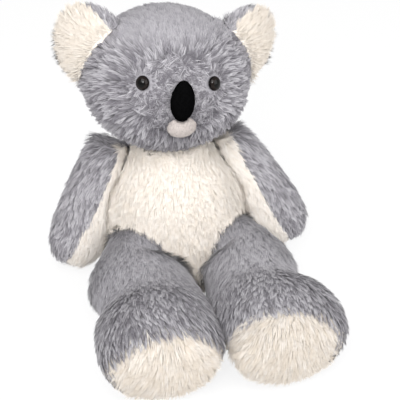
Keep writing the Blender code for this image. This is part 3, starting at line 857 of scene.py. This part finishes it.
@dataclass
class Panel:
    """One sewn panel's pile on a backing.

    Attributes:
        node: The panel's CAD node.
        comb: What lays the pile.
        style: The pile's measures.
        finish: The pile's finish.
        slot: The record's material slot; not used.
        body: The CAD body that carries it.
        blockers: The neighbours that press on the pile.
        border: The seam with the next panel.
        walls: Pieces through which no lock grows.
        reach: How far over a root a neighbour or a wall counts.
        least: The room under which no lock grows.
        shortest: The share of its length that a lock keeps under a neighbour.
        edge: How far pile grows in under a neighbour, where it can't be seen.
        fringe: How far from the border locks have their full length.
    """

    node: str
    comb: Comb
    style: PileStyle
    finish: PileFinish
    slot: str
    body: str
    blockers: BVHTree
    border: Seam | None = None
    walls: BVHTree | None = None
    reach: float = 0.0080
    least: float = 0.0
    shortest: float = 0.75
    edge: float = 0.0100
    fringe: float = 0.0140

    def planted(self, places: Array, normals: Array) -> tuple[Array, Array, Array]:
        """Find the roots that lie on this panel and can be seen from outside.

        Args:
            places: The roots.
            normals: The surface's normals there.

        Returns:
            The rows that are planted, the share of its length that each has room for, and how
            close the next piece lies to each, from 0 for far to 1 for touching.
        """
        side = 1.0 if self.border is not None and self.border.node == self.node else -1.0
        rows: list[int] = []
        shares: list[float] = []
        nearness: list[float] = []
        for i, (place, normal) in enumerate(zip(places, normals)):
            root, up = Vector(place), Vector(normal)
            share = 1.0
            if self.border is not None:
                ahead = self.border.ahead(root) * side
                if ahead < 0.0:
                    continue
                share = self.style.trim + (1.0 - self.style.trim) * min(1.0, ahead / self.fringe)
            if self.walls is not None and self.walls.ray_cast(root, up, self.reach)[0] is not None:
                continue
            room = self.blockers.ray_cast(root, up, self.reach)[3]
            if room is not None and room < self.least:
                continue
            if room is not None:
                share *= self.shortest + (1.0 - self.shortest) * room / self.reach
            rows.append(i)
            nearness.append(0.0 if room is None else 1.0 - room / self.reach)
            shares.append(share)
        kept, share, close = np.array(rows), np.array(shares), np.array(nearness)
        near = nearest_rows(places[kept], places[kept[close <= 0.0]])[1] < self.edge
        return kept[near], share[near], close[near]

    def grow(self, surface: Surface) -> list[bpy.types.Object]:
        """Plant, comb and clump the pile.

        Args:
            surface: The backing's surface.

        Returns:
            The pile, as closed tapering locks, in pieces from front to back.
        """
        style = self.style
        rng = np.random.default_rng(style.seed)
        roots, normals = surface.scatter(style.spacing, style.seed)
        kept, room, close = self.planted(roots, normals)
        roots, normals = roots[kept], normals[kept]
        heads, head_normals = surface.scatter(style.clump, style.seed + 1)
        nearest = nearest_rows(roots, heads)[0]
        combed, head_combed = self.comb.lay(roots, normals), self.comb.lay(heads, head_normals)

        head_turn = rng.normal(size=len(heads)) * style.wander
        head_size = rng.uniform(*CLUMP_SIZES, size=len(heads))
        head_path = self.paths(heads, head_normals, head_combed, head_turn, head_size, 0.0, rng)
        spot = heads[nearest][:, None, :]
        head_path = spot + (head_path[nearest] - spot) * room[:, None, None]
        own_turn = head_turn[nearest] + rng.normal(size=len(roots)) * style.wander * 0.5
        own_size = head_size[nearest] * rng.uniform(*LOCK_SIZES, size=len(roots)) * room
        own_path = self.paths(roots, normals, combed, own_turn, own_size, close * style.stand, rng)
        pull = np.clip(style.pull * combed.depth, *PULL_LIMITS)
        pull = pull[:, None, None] * STEPS[None, :, None] ** 0.8
        aside = (roots - heads[nearest])[:, None, :]
        path = own_path * (1.0 - pull) + (head_path + aside * (1.0 - pull)) * pull
        path[..., 2] = np.maximum(path[..., 2], LOWEST)

        tone = waves(roots, TONE_PATCH, style.seed) * PATCH_TONE
        tone += rng.uniform(*CLUMP_TONES, size=len(heads))[nearest]
        tone += rng.uniform(*LOCK_TONES, size=len(roots))
        tone = np.clip(style.tone + tone * (combed.depth * style.contrast), 0.0, 1.0)
        parts = math.ceil(len(roots) / MOST_LOCKS)
        pieces = []
        for number, chosen in enumerate(np.array_split(np.argsort(roots[:, 1]), parts)):
            name = self.node + "_pile" + (f"_{number + 1}" if parts > 1 else "")
            obj = locks(name, path[chosen], normals[chosen], style, tone[chosen])
            pieces.append(finish_piece(obj, self.body, material_of(self.finish),
                                       (self.node,)))
        return pieces

    def paths(self, roots: Array, normals: Array, combed: Combed, turn: Array, size: Array,
              stand: Array | float, rng: np.random.Generator) -> Array:
        """The middle lines of locks.

        Args:
            roots: Where they start.
            normals: The surface's normals there.
            combed: How the pile lies there.
            turn: How far each is turned from its lie, in radians.
            size: Each lock's share of the usual length.
            stand: How much more than usual each stands up.
            rng: The source of chance.

        Returns:
            One row of points per lock.
        """
        style = self.style
        lie = tangent(combed.lie, normals)
        side = np.cross(normals, lie)
        stray = rng.uniform(-math.pi, math.pi, size=len(roots)) * combed.mess
        angle = turn + waves(roots, LIE_PATCH, style.seed + 7) * PATCH_TURN + stray
        lie = lie * np.cos(angle)[:, None] + side * np.sin(angle)[:, None]
        side = np.cross(normals, lie)
        length = style.length * combed.length * size
        lift = style.lift * combed.lift * rng.uniform(*LOCK_LIFTS, size=len(roots)) + stand
        rise = lift[:, None] * (1.0 - (1.0 - STEPS[None, :]) ** 1.8)
        run = STEPS[None, :] * np.sqrt(np.clip(1.0 - lift ** 2, 0.1, 1.0))[:, None]
        bend = rng.normal(size=len(roots)) * style.curl * (1.0 + 3.0 * combed.mess)
        sway = bend[:, None] * np.sin(STEPS[None, :] * math.pi * 0.9)
        out = rise * length[:, None]
        along = run * length[:, None]
        start = roots - normals * ROOT_SINK
        return (start[:, None, :] + normals[:, None, :] * out[..., None]
                + lie[:, None, :] * along[..., None] + side[:, None, :] * sway[..., None])


def material_of(finish: Finish) -> bpy.types.Material:
    """A finish's material, built once.

    Args:
        finish: The finish.

    Returns:
        The material.
    """
    return bpy.data.materials.get(finish.name) or finish.material()


def lock_faces(rings: int) -> list[tuple[int, ...]]:
    """The faces of one lock, a three-sided tube with a point at both ends.

    Args:
        rings: How many rings of three corners it has.

    Returns:
        Each face's corners, counted from the lock's root.
    """
    last = rings * 3 - 2
    pairs = ((0, 1), (1, 2), (2, 0))
    faces = [(0, 1 + b, 1 + a) for a, b in pairs]
    faces += [(r * 3 + 1 + a, r * 3 + 1 + b, r * 3 + 4 + b, r * 3 + 4 + a)
              for r in range(rings - 1) for a, b in pairs]
    return faces + [(last + a, last + b, rings * 3 + 1) for a, b in pairs]


def mark_locks(mesh: bpy.types.Mesh, loops: Array, tone: Array, rings: int) -> None:
    """Store how far along and how light each point of a pile is, and place it for baking.

    Args:
        mesh: The pile's mesh.
        loops: The point at each corner of its faces.
        tone: How light each lock is.
        rings: How many rings of three corners a lock has.
    """
    count, stride = len(tone), rings * 3 + 2
    along = np.concatenate(((0.0,), np.repeat(STEPS[1:-1], 3), (1.0,)))
    hold(mesh, "along", np.tile(along, count))
    hold(mesh, "tone", np.repeat(tone, stride))
    # A lock's corners are set a little apart on the picture, so that no face has an empty place.
    lean = np.concatenate(((0.0,), np.tile((-0.004, 0.004, 0.0), rings), (0.0,)))
    across = np.repeat(0.02 + tone * 0.96, stride) + np.tile(lean, count)
    drift = np.concatenate(((0.0,), np.tile((0.0, 0.002, 0.006), rings), (0.0,)))
    upward = np.tile(0.01 + along * 0.97 + drift, count)
    uv = mesh.uv_layers.new(name="OFBake")
    uv.data.foreach_set("uv", np.stack((across[loops], upward[loops]), axis=1).ravel())


def locks(name: str, path: Array, normals: Array, style: PileStyle, tone: Array
          ) -> bpy.types.Object:
    """Close a three-sided lock, pointed at both ends, round each middle line.

    Args:
        name: The piece's name.
        path: One row of points per lock.
        normals: The surface's normals at the roots.
        style: The pile's measures.
        tone: How light each lock is.

    Returns:
        The piece.
    """
    count, points = path.shape[:2]
    rings = points - 2
    stride = rings * 3 + 2
    heading = unit(path[:, 2:] - path[:, :-2])
    side = unit(np.cross(normals[:, None, :], heading))
    up = np.cross(heading, side)
    taper = (1.15 - 0.6 * STEPS[1:-1])[None, :, None]
    half = side * style.width / 2.0 * taper
    ridge = up * style.thickness * taper
    middle = path[:, 1:-1]
    ring = np.stack((middle - half, middle + half, middle + ridge), axis=2)
    corners = np.concatenate((path[:, :1], ring.reshape(count, rings * 3, 3), path[:, -1:]), axis=1)

    faces = lock_faces(rings)
    pattern = np.array([i for face in faces for i in face], np.int32)
    offsets = (np.arange(count, dtype=np.int32) * stride)[:, None]
    loops = (pattern[None, :] + offsets).ravel()
    totals = np.tile(np.array([len(face) for face in faces], np.int32), count)
    starts = np.concatenate(((0,), np.cumsum(totals)[:-1])).astype(np.int32)
    mesh = bpy.data.meshes.new(name)
    mesh.vertices.add(count * stride)
    mesh.vertices.foreach_set("co", corners.reshape(-1).astype(np.float32))
    mesh.loops.add(len(loops))
    mesh.loops.foreach_set("vertex_index", loops)
    mesh.polygons.add(len(totals))
    mesh.polygons.foreach_set("loop_start", starts)
    mesh.update(calc_edges=True)
    mark_locks(mesh, loops, tone, rings)
    mesh.shade_smooth()
    mesh.validate()

    outward = np.stack((up - side, up + side, up), axis=2).reshape(count, rings * 3, 3)
    flat = np.zeros((count, 1, 3))
    outward = np.concatenate((flat, unit(outward), flat), axis=1) * (1.0 - style.softness)
    outward = unit(outward + normals[:, None, :] * style.softness)
    mesh.normals_split_custom_set_from_vertices(outward.reshape(-1, 3).tolist())
    obj = bpy.data.objects.new(name, mesh)
    bpy.context.scene.collection.objects.link(obj)
    return obj


# Combing


@dataclass(frozen=True)
class HeadComb:
    """Pile that runs out from the muzzle, lies flat on the brow and is ruffled round the nose.

    Attributes:
        nose: The nose's middle.
        eyes: The eyes' middles.
        muzzle: How far from the nose the ruffled pile starts and stops to end.
        brow: How far over the nose the flat pile of the brow begins.
        chin: How far under the nose the hanging pile of the chin begins.
        eye_ring: How far from an eye its parted pile starts and stops to end.
        ruffle: How far the muzzle's locks stray.
    """

    nose: Vector
    eyes: tuple[Vector, ...]
    muzzle: Range = (0.030, 0.052)
    brow: Range = (0.030, 0.060)
    chin: Range = (0.020, 0.055)
    eye_ring: Range = (0.011, 0.024)
    ruffle: float = 1.5

    def lay(self, places: Array, normals: Array) -> Combed:
        """Say how the pile lies at each root.

        Args:
            places: The roots.
            normals: The surface's normals there.

        Returns:
            The pile's lie, length, lift, mess and depth.
        """
        away = places - np.array(self.nose)
        far = np.linalg.norm(away, axis=1)
        facing = -normals[:, 1]
        brow = ease(*self.brow, away[:, 2]) * ease(-0.6, 0.1, facing)
        chin = ease(*self.chin, -away[:, 2]) * ease(-0.1, 0.6, facing)
        back = 1.0 - ease(-0.7, 0.2, facing)
        lie = unit(away)
        lie[:, 2] += 0.6 * brow - 0.8 * chin - 1.2 * back - 0.22
        muzzle = (1.0 - ease(*self.muzzle, far)) * (1.0 - chin)
        length = (1.0 - 0.15 * brow) * (1.0 - 0.6 * muzzle)
        lift = (1.0 - 0.72 * brow) * (1.0 + 0.9 * muzzle) * (1.0 + 0.7 * chin)
        mess = self.ruffle * muzzle
        for eye in self.eyes:
            off = places - np.array(eye)
            near = 1.0 - ease(*self.eye_ring, np.linalg.norm(off, axis=1))
            lie = lie * (1.0 - near[:, None]) + unit(off) * 1.5 * near[:, None]
            length *= 1.0 - 0.5 * near
            mess *= 1.0 - near
        depth = 1.3 - 1.22 * brow + 2.2 * muzzle
        return Combed(lie, length, lift, mess, np.clip(depth, 0.12, 3.2))


@dataclass(frozen=True)
class WayComb:
    """Pile that runs one way along a limb and fans out from its middle line.

    Attributes:
        start: Where the middle line starts.
        way: Which way it runs.
        fan: How far the pile fans out.
        down: How far it hangs.
        back: How far it lies backward.
        aside: Where it runs at the root of the limb instead.
        root: How far from the start that ends.
        tail: How much longer it is at the far end.
        tail_way: Where it runs there besides.
        tail_over: Where the far end starts and where it is full.
        deep_over: Where clumps start and stop to deepen, or none.
    """

    start: Vector
    way: Vector
    fan: float
    down: float = 0.0
    back: float = 0.0
    aside: Vector = field(default_factory=Vector)
    root: float = 0.05
    tail: float = 0.0
    tail_way: Vector = field(default_factory=Vector)
    tail_over: Range = (0.150, 0.200)
    deep_over: Range | None = None

    def lay(self, places: Array, normals: Array) -> Combed:
        """Say how the pile lies at each root.

        Args:
            places: The roots.
            normals: The surface's normals there.

        Returns:
            The pile's lie, length, lift, mess and depth.
        """
        way = np.array(self.way.normalized())
        off = places - np.array(self.start)
        far = off @ way
        aside = off - np.outer(far, way)
        spread = unit(aside) * ease(0.0, 0.03, np.linalg.norm(aside, axis=1))[:, None]
        root = 1.0 - ease(0.0, self.root, far)
        end = ease(*self.tail_over, far)
        lie = way + spread * self.fan * (1.0 - root[:, None]) + (0.0, 0.0, -self.down)
        lie += root[:, None] * np.array(self.aside) + (0.0, self.back, 0.0)
        lie += end[:, None] * np.array(self.tail_way)
        ones = np.ones(len(places))
        depth = ones if self.deep_over is None else 0.3 + 0.9 * ease(*self.deep_over, far)
        return Combed(lie, 1.0 + self.tail * end, ones, 0.0 * ones, depth)


# The koala


@dataclass
class Head:
    """Head pile on its backing, with ears, eyes, nose and chin.

    Attributes:
        body: The CAD body that carries it.
        pile: The measures of its pile.
        edge: How far its pile grows in under the ears and at the neck.
    """

    body: str = "head"
    pile: PileStyle = PileStyle(width=0.00080, spacing=0.00116, seed=11)
    edge: float = 0.016

    def build(self) -> list[bpy.types.Object]:
        """Make the head.

        Returns:
            Its pieces.
        """
        comb = HeadComb(centre_of("nose"), tuple(centre_of("eye_" + side.value) for side in Side))
        ears = tuple(f"ear_{side.value}_{face}" for side in Side for face in ("back", "front"))
        near = ears + ("body_back", "belly_panel", "neck_stuffing")
        backing = Backing("head_backing", ("head_skin", "head_stuffing"), near).build()
        surface = Surface.of(backing)
        walls = tree_of(("eye_left", "eye_right", "nose", "chin_patch"))
        panel = Panel("head_skin", comb, self.pile, GREY_PILE, "grey_fur", self.body,
                      tree_of(near), walls=walls, edge=self.edge)
        finish_piece(backing, self.body, material_of(GREY_BACKING), ("head_stuffing",))
        pieces = [backing, *panel.grow(surface)]
        for side in Side:
            pieces += Ear(side).build()
        pieces += Face(joint_place(self.body)).build()
        return pieces


@dataclass
class Ear:
    """An ear with a cream front and a grey back.

    Attributes:
        side: Left or right.
        shift: How far past the stitching the cream reaches.
        lean: How fast that changes outwards and downwards.
        inset: How far the backing lies under the CAD skin.
        voxel: The size of the backing's faces.
        front_pile: The measures of the cream pile.
        back_pile: The measures of the grey pile.
    """

    side: Side
    shift: float = 0.0045
    lean: float = 0.30
    inset: float = 0.0032
    voxel: float = 0.0030
    front_pile: PileStyle = PileStyle(
        length=0.0150, lift=0.25, thickness=0.00018, spacing=0.0012, pull=0.2, contrast=0.5,
        softness=0.9, trim=0.9, tone=0.6, seed=21)
    back_pile: PileStyle = PileStyle(
        length=0.0130, lift=0.25, thickness=0.00018, spacing=0.0012, pull=0.4, contrast=0.8,
        softness=0.9, trim=0.5, tone=0.9, seed=25)

    def build(self) -> list[bpy.types.Object]:
        """Make the ear.

        Returns:
            Its pieces.
        """
        name = "ear_" + self.side.value
        front, back, fill = name + "_front", name + "_back", name + "_stuffing"
        lean = Vector((self.side.sign * 0.6, 0.0, -0.8)) * self.lean
        border = Seam(front, back, self.shift, lean)
        backing = Backing(name + "_backing", (front, back, fill), ("head_skin",), border,
                          inset=self.inset, voxel=self.voxel).build()
        surface = Surface.of(backing)
        root = centre_of("head_skin").lerp(centre_of(front), 0.55)
        comb = WayComb(root, centre_of(front) - root, 0.9, 0.25, back=0.9)
        blockers = tree_of(("head_skin",))
        pieces = [finish_piece(backing, "head", material_of(GREY_BACKING), (fill,))]
        for node, finish, slot, style in (
            (front, SHADED_EAR_PILE, "cream_fur", self.front_pile),
            (back, GREY_PILE, "grey_fur", self.back_pile),
        ):
            panel = Panel(node, comb, style.on(self.side), finish, slot, "head", blockers, border)
            pieces += panel.grow(surface)
        return pieces


@dataclass
class Trunk:
    """The body, with a grey back and a cream belly, and the wad in the neck.

    Attributes:
        body: The CAD body that carries it.
        shift: How far past the stitching the cream reaches.
        belly_pile: The measures of the cream pile.
        back_pile: The measures of the grey pile.
        neck_inset: How far the neck's backing lies under the CAD wad.
        neck_voxel: The size of the neck's faces.
    """

    body: str = "body"
    shift: float = 0.022
    belly_pile: PileStyle = PileStyle(
        length=0.0130, lift=0.28, width=0.0010, thickness=0.00015, spacing=0.00118, pull=0.3,
        wander=0.2, curl=0.0007, contrast=0.5, softness=0.95, stand=0.4, seed=31)
    back_pile: PileStyle = PileStyle(width=0.0013, spacing=0.0016, seed=33)
    neck_inset: float = 0.0005
    neck_voxel: float = 0.0030

    def build(self) -> list[bpy.types.Object]:
        """Make the body.

        Returns:
            Its pieces.
        """
        nodes = ("body_back", "belly_panel", "body_stuffing")
        near = ("head_skin", "neck_stuffing", "arm_left_outer", "arm_left_inner",
                "arm_right_outer", "arm_right_inner", "leg_left", "leg_right")
        border = Seam("belly_panel", "body_back", self.shift)
        backing = Backing("body_backing", nodes, near, border).build()
        surface = Surface.of(backing)
        blockers = tree_of(near)
        low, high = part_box("body_back")
        top = Vector((centre_of("belly_panel").x, low.lerp(high, 0.5).y, high.z))
        down = Vector((0.0, 0.0, -1.0))
        front = WayComb(top, down, 0.4, aside=Vector((0.0, -0.3, 1.5)), tail=1.4,
                        tail_way=Vector((-0.15, -0.7, 0.0)), tail_over=(0.095, 0.145))
        rear = WayComb(top, down, 0.25)
        pieces = [finish_piece(backing, self.body, material_of(GREY_BACKING),
                               ("body_stuffing",))]
        for node, finish, slot, style, comb in (
            ("belly_panel", CREAM_PILE, "cream_fur", self.belly_pile, front),
            ("body_back", GREY_PILE, "grey_fur", self.back_pile, rear),
        ):
            panel = Panel(node, comb, style, finish, slot, self.body, blockers, border)
            pieces += panel.grow(surface)
        neck = Backing("neck_backing", ("neck_stuffing",), inset=self.neck_inset,
                       voxel=self.neck_voxel).build()
        pieces.append(finish_piece(neck, "neck", material_of(CREAM_BACKING),
                                   ("neck_stuffing",)))
        return pieces


@dataclass
class Arm:
    """An arm with a grey outside and a cream inside.

    Attributes:
        side: Left or right.
        shoulder: The radius of the ball at the shoulder that is all grey.
        shift: How far past the stitching the cream reaches.
        lean: How fast that changes with height.
        outer_pile: The measures of the grey pile.
        inner_pile: The measures of the cream pile, its tone raised as painted light on the shaded
            inner arm.
    """

    side: Side
    shoulder: float = 0.034
    shift: float = 0.0
    lean: float = 0.0
    outer_pile: PileStyle = PileStyle(tone=0.8, seed=41)
    # The inner pile's high tone is painted light: it lightens the inner arm, which lies in shade.
    inner_pile: PileStyle = PileStyle(
        thickness=0.00018, pull=0.4, contrast=0.55, softness=0.85, tone=0.95, stand=0.4, seed=45)

    def build(self) -> list[bpy.types.Object]:
        """Make the arm.

        Returns:
            Its pieces.
        """
        name = "arm_" + self.side.value
        outer, inner, fill = name + "_outer", name + "_inner", name + "_stuffing"
        near = ("body_back", "belly_panel", "leg_" + self.side.value)
        pivot = joint_place(name)
        shoulder = (pivot + Vector((0.0, 0.030, 0.030)), self.shoulder)
        border = Seam(inner, outer, self.shift, Vector((0.0, 0.0, self.lean)), shoulder)
        backing = Backing(name + "_backing", (outer, inner, fill), near, border).build()
        surface = Surface.of(backing)
        low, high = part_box(outer)
        way = Vector(((low.x + high.x) / 2.0, (low.y + high.y) / 2.0, low.z)) - pivot
        blockers = tree_of(near)
        pieces = [finish_piece(backing, name, material_of(GREY_BACKING), (fill,))]
        aside = Vector((self.side.sign * 0.9, 0.0, -0.6))
        for node, finish, slot, style, fan in (
            (outer, GREY_PILE, "grey_fur", self.outer_pile, 0.45),
            (inner, CREAM_PILE, "cream_fur", self.inner_pile, 0.3),
        ):
            comb = WayComb(pivot, way, fan, 0.2, aside=aside)
            panel = Panel(node, comb, style.on(self.side), finish, slot, name, blockers, border)
            pieces += panel.grow(surface)
        return pieces


@dataclass
class Leg:
    """A leg with a large foot and a cream sole.

    Attributes:
        side: Left or right.
        shift: How far past the stitching the cream reaches.
        tone: How light its grey pile is; the legs differ in it as painted light and shade.
        pile: The other measures of the grey pile.
        sole_pile: The measures of the cream pile.
        least: The room under which no grey lock grows.
    """

    side: Side
    shift: float = 0.0
    tone: float = 0.8
    pile: PileStyle = PileStyle(
        length=0.0175, lift=0.2, width=0.00078, spacing=0.00127, trim=0.9, seed=51)
    sole_pile: PileStyle = PileStyle(
        length=0.0200, lift=0.18, width=0.0010, thickness=0.00012, spacing=0.00120, pull=0.15,
        contrast=1.0, softness=0.95, tone=0.5, seed=55)
    least: float = 0.0018

    def build(self) -> list[bpy.types.Object]:
        """Make the leg.

        Returns:
            Its pieces.
        """
        name, sole = "leg_" + self.side.value, "sole_" + self.side.value
        fill = name + "_stuffing"
        near = ("body_back", "belly_panel", "leg_" + self.side.other.value,
                "sole_" + self.side.other.value)
        border = Seam(sole, name, self.shift, Vector((0.0, 0.0, -0.05)))
        backing = Backing(name + "_backing", (name, sole, fill), near, border).build()
        surface = Surface.of(backing)
        pivot = joint_place(name)
        blockers = tree_of(near)
        pieces = [finish_piece(backing, name, material_of(GREY_BACKING), (fill,))]
        middle = centre_of(name)
        style = replace(self.pile.on(self.side), tone=self.tone)
        comb = WayComb(Vector((middle.x, pivot.y, middle.z)), Vector((0.0, -1.0, 0.0)), 0.5, 0.25,
                       deep_over=(0.060, 0.150))
        panel = Panel(name, comb, style, GREY_PILE, "grey_fur", name, blockers, border,
                      least=self.least)
        pieces += panel.grow(surface)
        place = centre_of(sole)
        place.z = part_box(sole)[1].z
        comb = WayComb(place, Vector((0.0, 0.0, -1.0)), 0.6)
        style = self.sole_pile.on(self.side)
        panel = Panel(sole, comb, style, SHADED_SOLE_PILE, "cream_fur", name, blockers, border)
        pieces += panel.grow(surface)
        return pieces


@dataclass
class Face:
    """Eyes, nose and chin patch.

    Attributes:
        pivot: Where the head turns, from which the eyes face outwards.
        eye_width: Half an eye's width.
        eye_height: Half an eye's height.
        eye_proud: How far its dome rises.
        eye_back: How far it goes into the head.
        nose_flock: The measures of the nose's flock.
        chin_plush: The measures of the chin's plush.
        inset: How far nose and chin lie under their CAD forms.
        voxel: The size of their faces.
        rounding: How often they are smoothed.
    """

    pivot: Vector
    eye_width: float = 0.0079
    eye_height: float = 0.0086
    eye_proud: float = 0.0060
    eye_back: float = 0.0050
    nose_flock: PileStyle = PileStyle(
        length=0.0014, lift=0.7, width=0.0004, thickness=0.0003, spacing=0.0007, clump=0.0020,
        pull=0.2, wander=0.8, curl=0.0001, seed=61)
    chin_plush: PileStyle = PileStyle(
        length=0.0032, lift=0.5, width=0.0006, thickness=0.0003, spacing=0.0007, clump=0.0030,
        pull=0.3, wander=0.3, curl=0.0002, contrast=0.4, seed=63)
    inset: float = 0.0008
    voxel: float = 0.0014
    rounding: int = 8

    def build(self) -> list[bpy.types.Object]:
        """Make the face's hard and flocked pieces.

        Returns:
            Its pieces.
        """
        pieces = [self.eye(side) for side in Side]
        far_away = tree_of(("body_stuffing",))
        for node, slot, backing, pile, style in (
            ("nose", "black_flock", FLOCK, NOSE_PILE, self.nose_flock),
            ("chin_patch", "white_plush", WHITE_BACKING, CHIN_PILE, self.chin_plush),
        ):
            form = Backing(node + "_form", (node,), inset=self.inset, voxel=self.voxel,
                           rounding=self.rounding).build()
            surface = Surface.of(form)
            comb = WayComb(centre_of(node), Vector((0.0, -0.3, -1.0)), 0.5)
            pieces.append(finish_piece(form, "head", material_of(backing), (node,)))
            pieces += Panel(node, comb, style, pile, slot, "head", far_away).grow(surface)
        return pieces

    def eye(self, side: Side) -> bpy.types.Object:
        """A polished domed eye with a pupil.

        Args:
            side: Left or right.

        Returns:
            The eye.
        """
        node = "eye_" + side.value
        axis = (centre_of(node) - self.pivot).normalized()
        tip = max(vert.co.dot(axis) for vert in node_mesh(node).vertices)
        base = self.pivot + axis * (tip - self.pivot.dot(axis) - self.eye_proud)
        bpy.ops.object.select_all(action="DESELECT")
        bpy.ops.mesh.primitive_uv_sphere_add(segments=48, ring_count=32, radius=1.0)
        obj = bpy.context.object
        obj.name = node + "_dome"
        mesh = obj.data
        out = []
        across = Vector((0.0, 0.0, 1.0)).cross(axis).normalized()
        up = axis.cross(across)
        for vert in mesh.vertices:
            x, y, z = vert.co
            out.append(math.hypot(x, y) if z > 0.0 else 1.0)
            deep = z * (self.eye_proud if z > 0.0 else self.eye_back)
            vert.co = base + across * x * self.eye_width + up * y * self.eye_height + axis * deep
        hold(mesh, "out", np.array(out))
        mesh.shade_smooth()
        return finish_piece(obj, "head", material_of(EYE), (node,))


@dataclass
class Studio:
    """A pale floor, soft lamps and the camera.

    Attributes:
        azimuth: The camera's turn about the koala.
        elevation: The camera's height as an angle.
        distance: How far it stands from the head.
        lens: Its focal length in millimetres.
        aim: How far right and up of the head it looks, as slopes.
        sky: The strength of the light from all round.
        floor_colour: How light the floor is.
        floor_white: How much of the floor shows as plain white.
        lamp_aim: Where the lamps point.
    """

    azimuth: float = math.radians(-10)
    elevation: float = math.radians(27)
    distance: float = 1.4
    lens: float = 105.0
    aim: Range = (0.0291, -0.1071)
    sky: float = 0.70
    floor_colour: float = 0.92
    floor_white: float = 0.84
    lamp_aim: Vector = field(default_factory=lambda: Vector((0.0, 0.0, 0.18)))

    def build(self) -> None:
        """Make the floor, the light and the camera."""
        self.add_floor()
        self.add_world()
        self.add_lamp("key_lamp", place=(-0.6, -1.0, 1.6), size=1.4, power=24.0)
        self.add_lamp("fill_lamp", place=(1.0, -1.2, 1.1), size=1.6, power=17.0)
        self.add_lamp("glint_lamp", place=(-0.45, -1.2, 1.1), size=0.35, power=8.0)
        self.add_camera()

    def add_floor(self) -> None:
        """A pale floor that shows white to the camera and still takes a soft shadow."""
        bpy.ops.object.select_all(action="DESELECT")
        bpy.ops.mesh.primitive_plane_add(size=14.0, location=(0.0, 0.0, -FLOOR_DROP))
        floor = bpy.context.object
        floor.name = "floor"
        shade = Shade("pale_floor")
        shade.shader.inputs["Base Color"].default_value = (*(self.floor_colour,) * 3, 1.0)
        shade.shader.inputs["Roughness"].default_value = 0.9
        self.show_white(shade, self.floor_white)
        floor.data.materials.append(shade.material)

    @staticmethod
    def show_white(shade: Shade, share: float) -> None:
        """Let the camera and reflections see a surface as nearly white.

        Args:
            shade: The surface's material.
            share: How much of what they see is plain white.
        """
        path = shade.node("ShaderNodeLightPath")
        seen = shade.maths("MAXIMUM", path.outputs["Is Camera Ray"], path.outputs["Is Glossy Ray"])
        seen = shade.maths("MAXIMUM", seen, path.outputs["Is Transmission Ray"])
        glow = shade.node("ShaderNodeEmission")
        glow.inputs["Strength"].default_value = 1.0
        mix = shade.node("ShaderNodeMixShader")
        shade.link(shade.maths("MULTIPLY", seen, share), mix.inputs[0])
        shade.link(shade.shader.outputs[0], mix.inputs[1])
        shade.link(glow.outputs[0], mix.inputs[2])
        output = next(n for n in shade.tree.nodes if n.type == "OUTPUT_MATERIAL")
        shade.link(mix.outputs[0], output.inputs["Surface"])

    def add_world(self) -> None:
        """A soft grey sky for light that the camera sees as white."""
        world = bpy.data.worlds.new("studio")
        bpy.context.scene.world = world
        world.use_nodes = True
        tree = world.node_tree
        path = tree.nodes.new("ShaderNodeLightPath")
        soft = tree.nodes["Background"]
        soft.inputs["Color"].default_value = (1.0, 1.0, 1.0, 1.0)
        soft.inputs["Strength"].default_value = self.sky
        white = tree.nodes.new("ShaderNodeBackground")
        white.inputs["Strength"].default_value = 1.0
        mix = tree.nodes.new("ShaderNodeMixShader")
        tree.links.new(path.outputs["Is Camera Ray"], mix.inputs[0])
        tree.links.new(soft.outputs[0], mix.inputs[1])
        tree.links.new(white.outputs[0], mix.inputs[2])
        tree.links.new(mix.outputs[0], tree.nodes["World Output"].inputs["Surface"])

    def add_lamp(self, name: str, place: tuple[float, float, float], size: float, power: float
                 ) -> None:
        """A large square lamp that faces the koala.

        Args:
            name: The lamp's name.
            place: Where it hangs.
            size: The length of its side.
            power: Its power in watts.
        """
        data = bpy.data.lights.new(name, "AREA")
        data.shape = "SQUARE"
        data.size = size
        data.energy = power
        lamp = bpy.data.objects.new(name, data)
        bpy.context.scene.collection.objects.link(lamp)
        lamp.location = place
        lamp.rotation_mode = "QUATERNION"
        lamp.rotation_quaternion = (self.lamp_aim - Vector(place)).to_track_quat("-Z", "Y")

    def add_camera(self) -> None:
        """A camera at the photograph's angle and distance."""
        look = Vector((-math.sin(self.azimuth) * math.cos(self.elevation),
                       math.cos(self.azimuth) * math.cos(self.elevation),
                       -math.sin(self.elevation)))
        data = bpy.data.cameras.new("camera")
        data.lens = self.lens
        data.sensor_width = 36.0
        data.clip_end = 50.0
        camera = bpy.data.objects.new("camera", data)
        bpy.context.scene.collection.objects.link(camera)
        right = look.cross(Vector((0.0, 0.0, 1.0))).normalized()
        ahead = (look + right * self.aim[0] + right.cross(look) * self.aim[1]).normalized()
        right = (right - ahead * right.dot(ahead)).normalized()
        turn = Matrix((right, right.cross(ahead), -ahead)).transposed()
        camera.location = joint_place("head") - look * self.distance
        camera.rotation_mode = "QUATERNION"
        camera.rotation_quaternion = turn.to_quaternion()
        bpy.context.scene.camera = camera


def main() -> None:
    """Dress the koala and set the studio."""
    logging.basicConfig(level=logging.INFO, format="%(message)s")
    Studio().build()
    parts = (
        Head(),
        Trunk(),
        Arm(Side.LEFT, shoulder=0.034, shift=-0.003, lean=0.05),
        Arm(Side.RIGHT, shoulder=0.043, shift=-0.001, lean=-0.08),
        # Painted light and shade: the left leg's pile is lighter and the right's darker, for light
        # that falls more on the koala's left.
        Leg(Side.LEFT, shift=-0.003, tone=0.85),
        Leg(Side.RIGHT, shift=0.001, tone=0.74),
    )
    for part in parts:
        made = part.build()
        LOG.info("%s: %d pieces", type(part).__name__, len(made))
    scene = bpy.context.scene
    scene.view_settings.view_transform = "Standard"


if __name__ == "__main__":
    main()
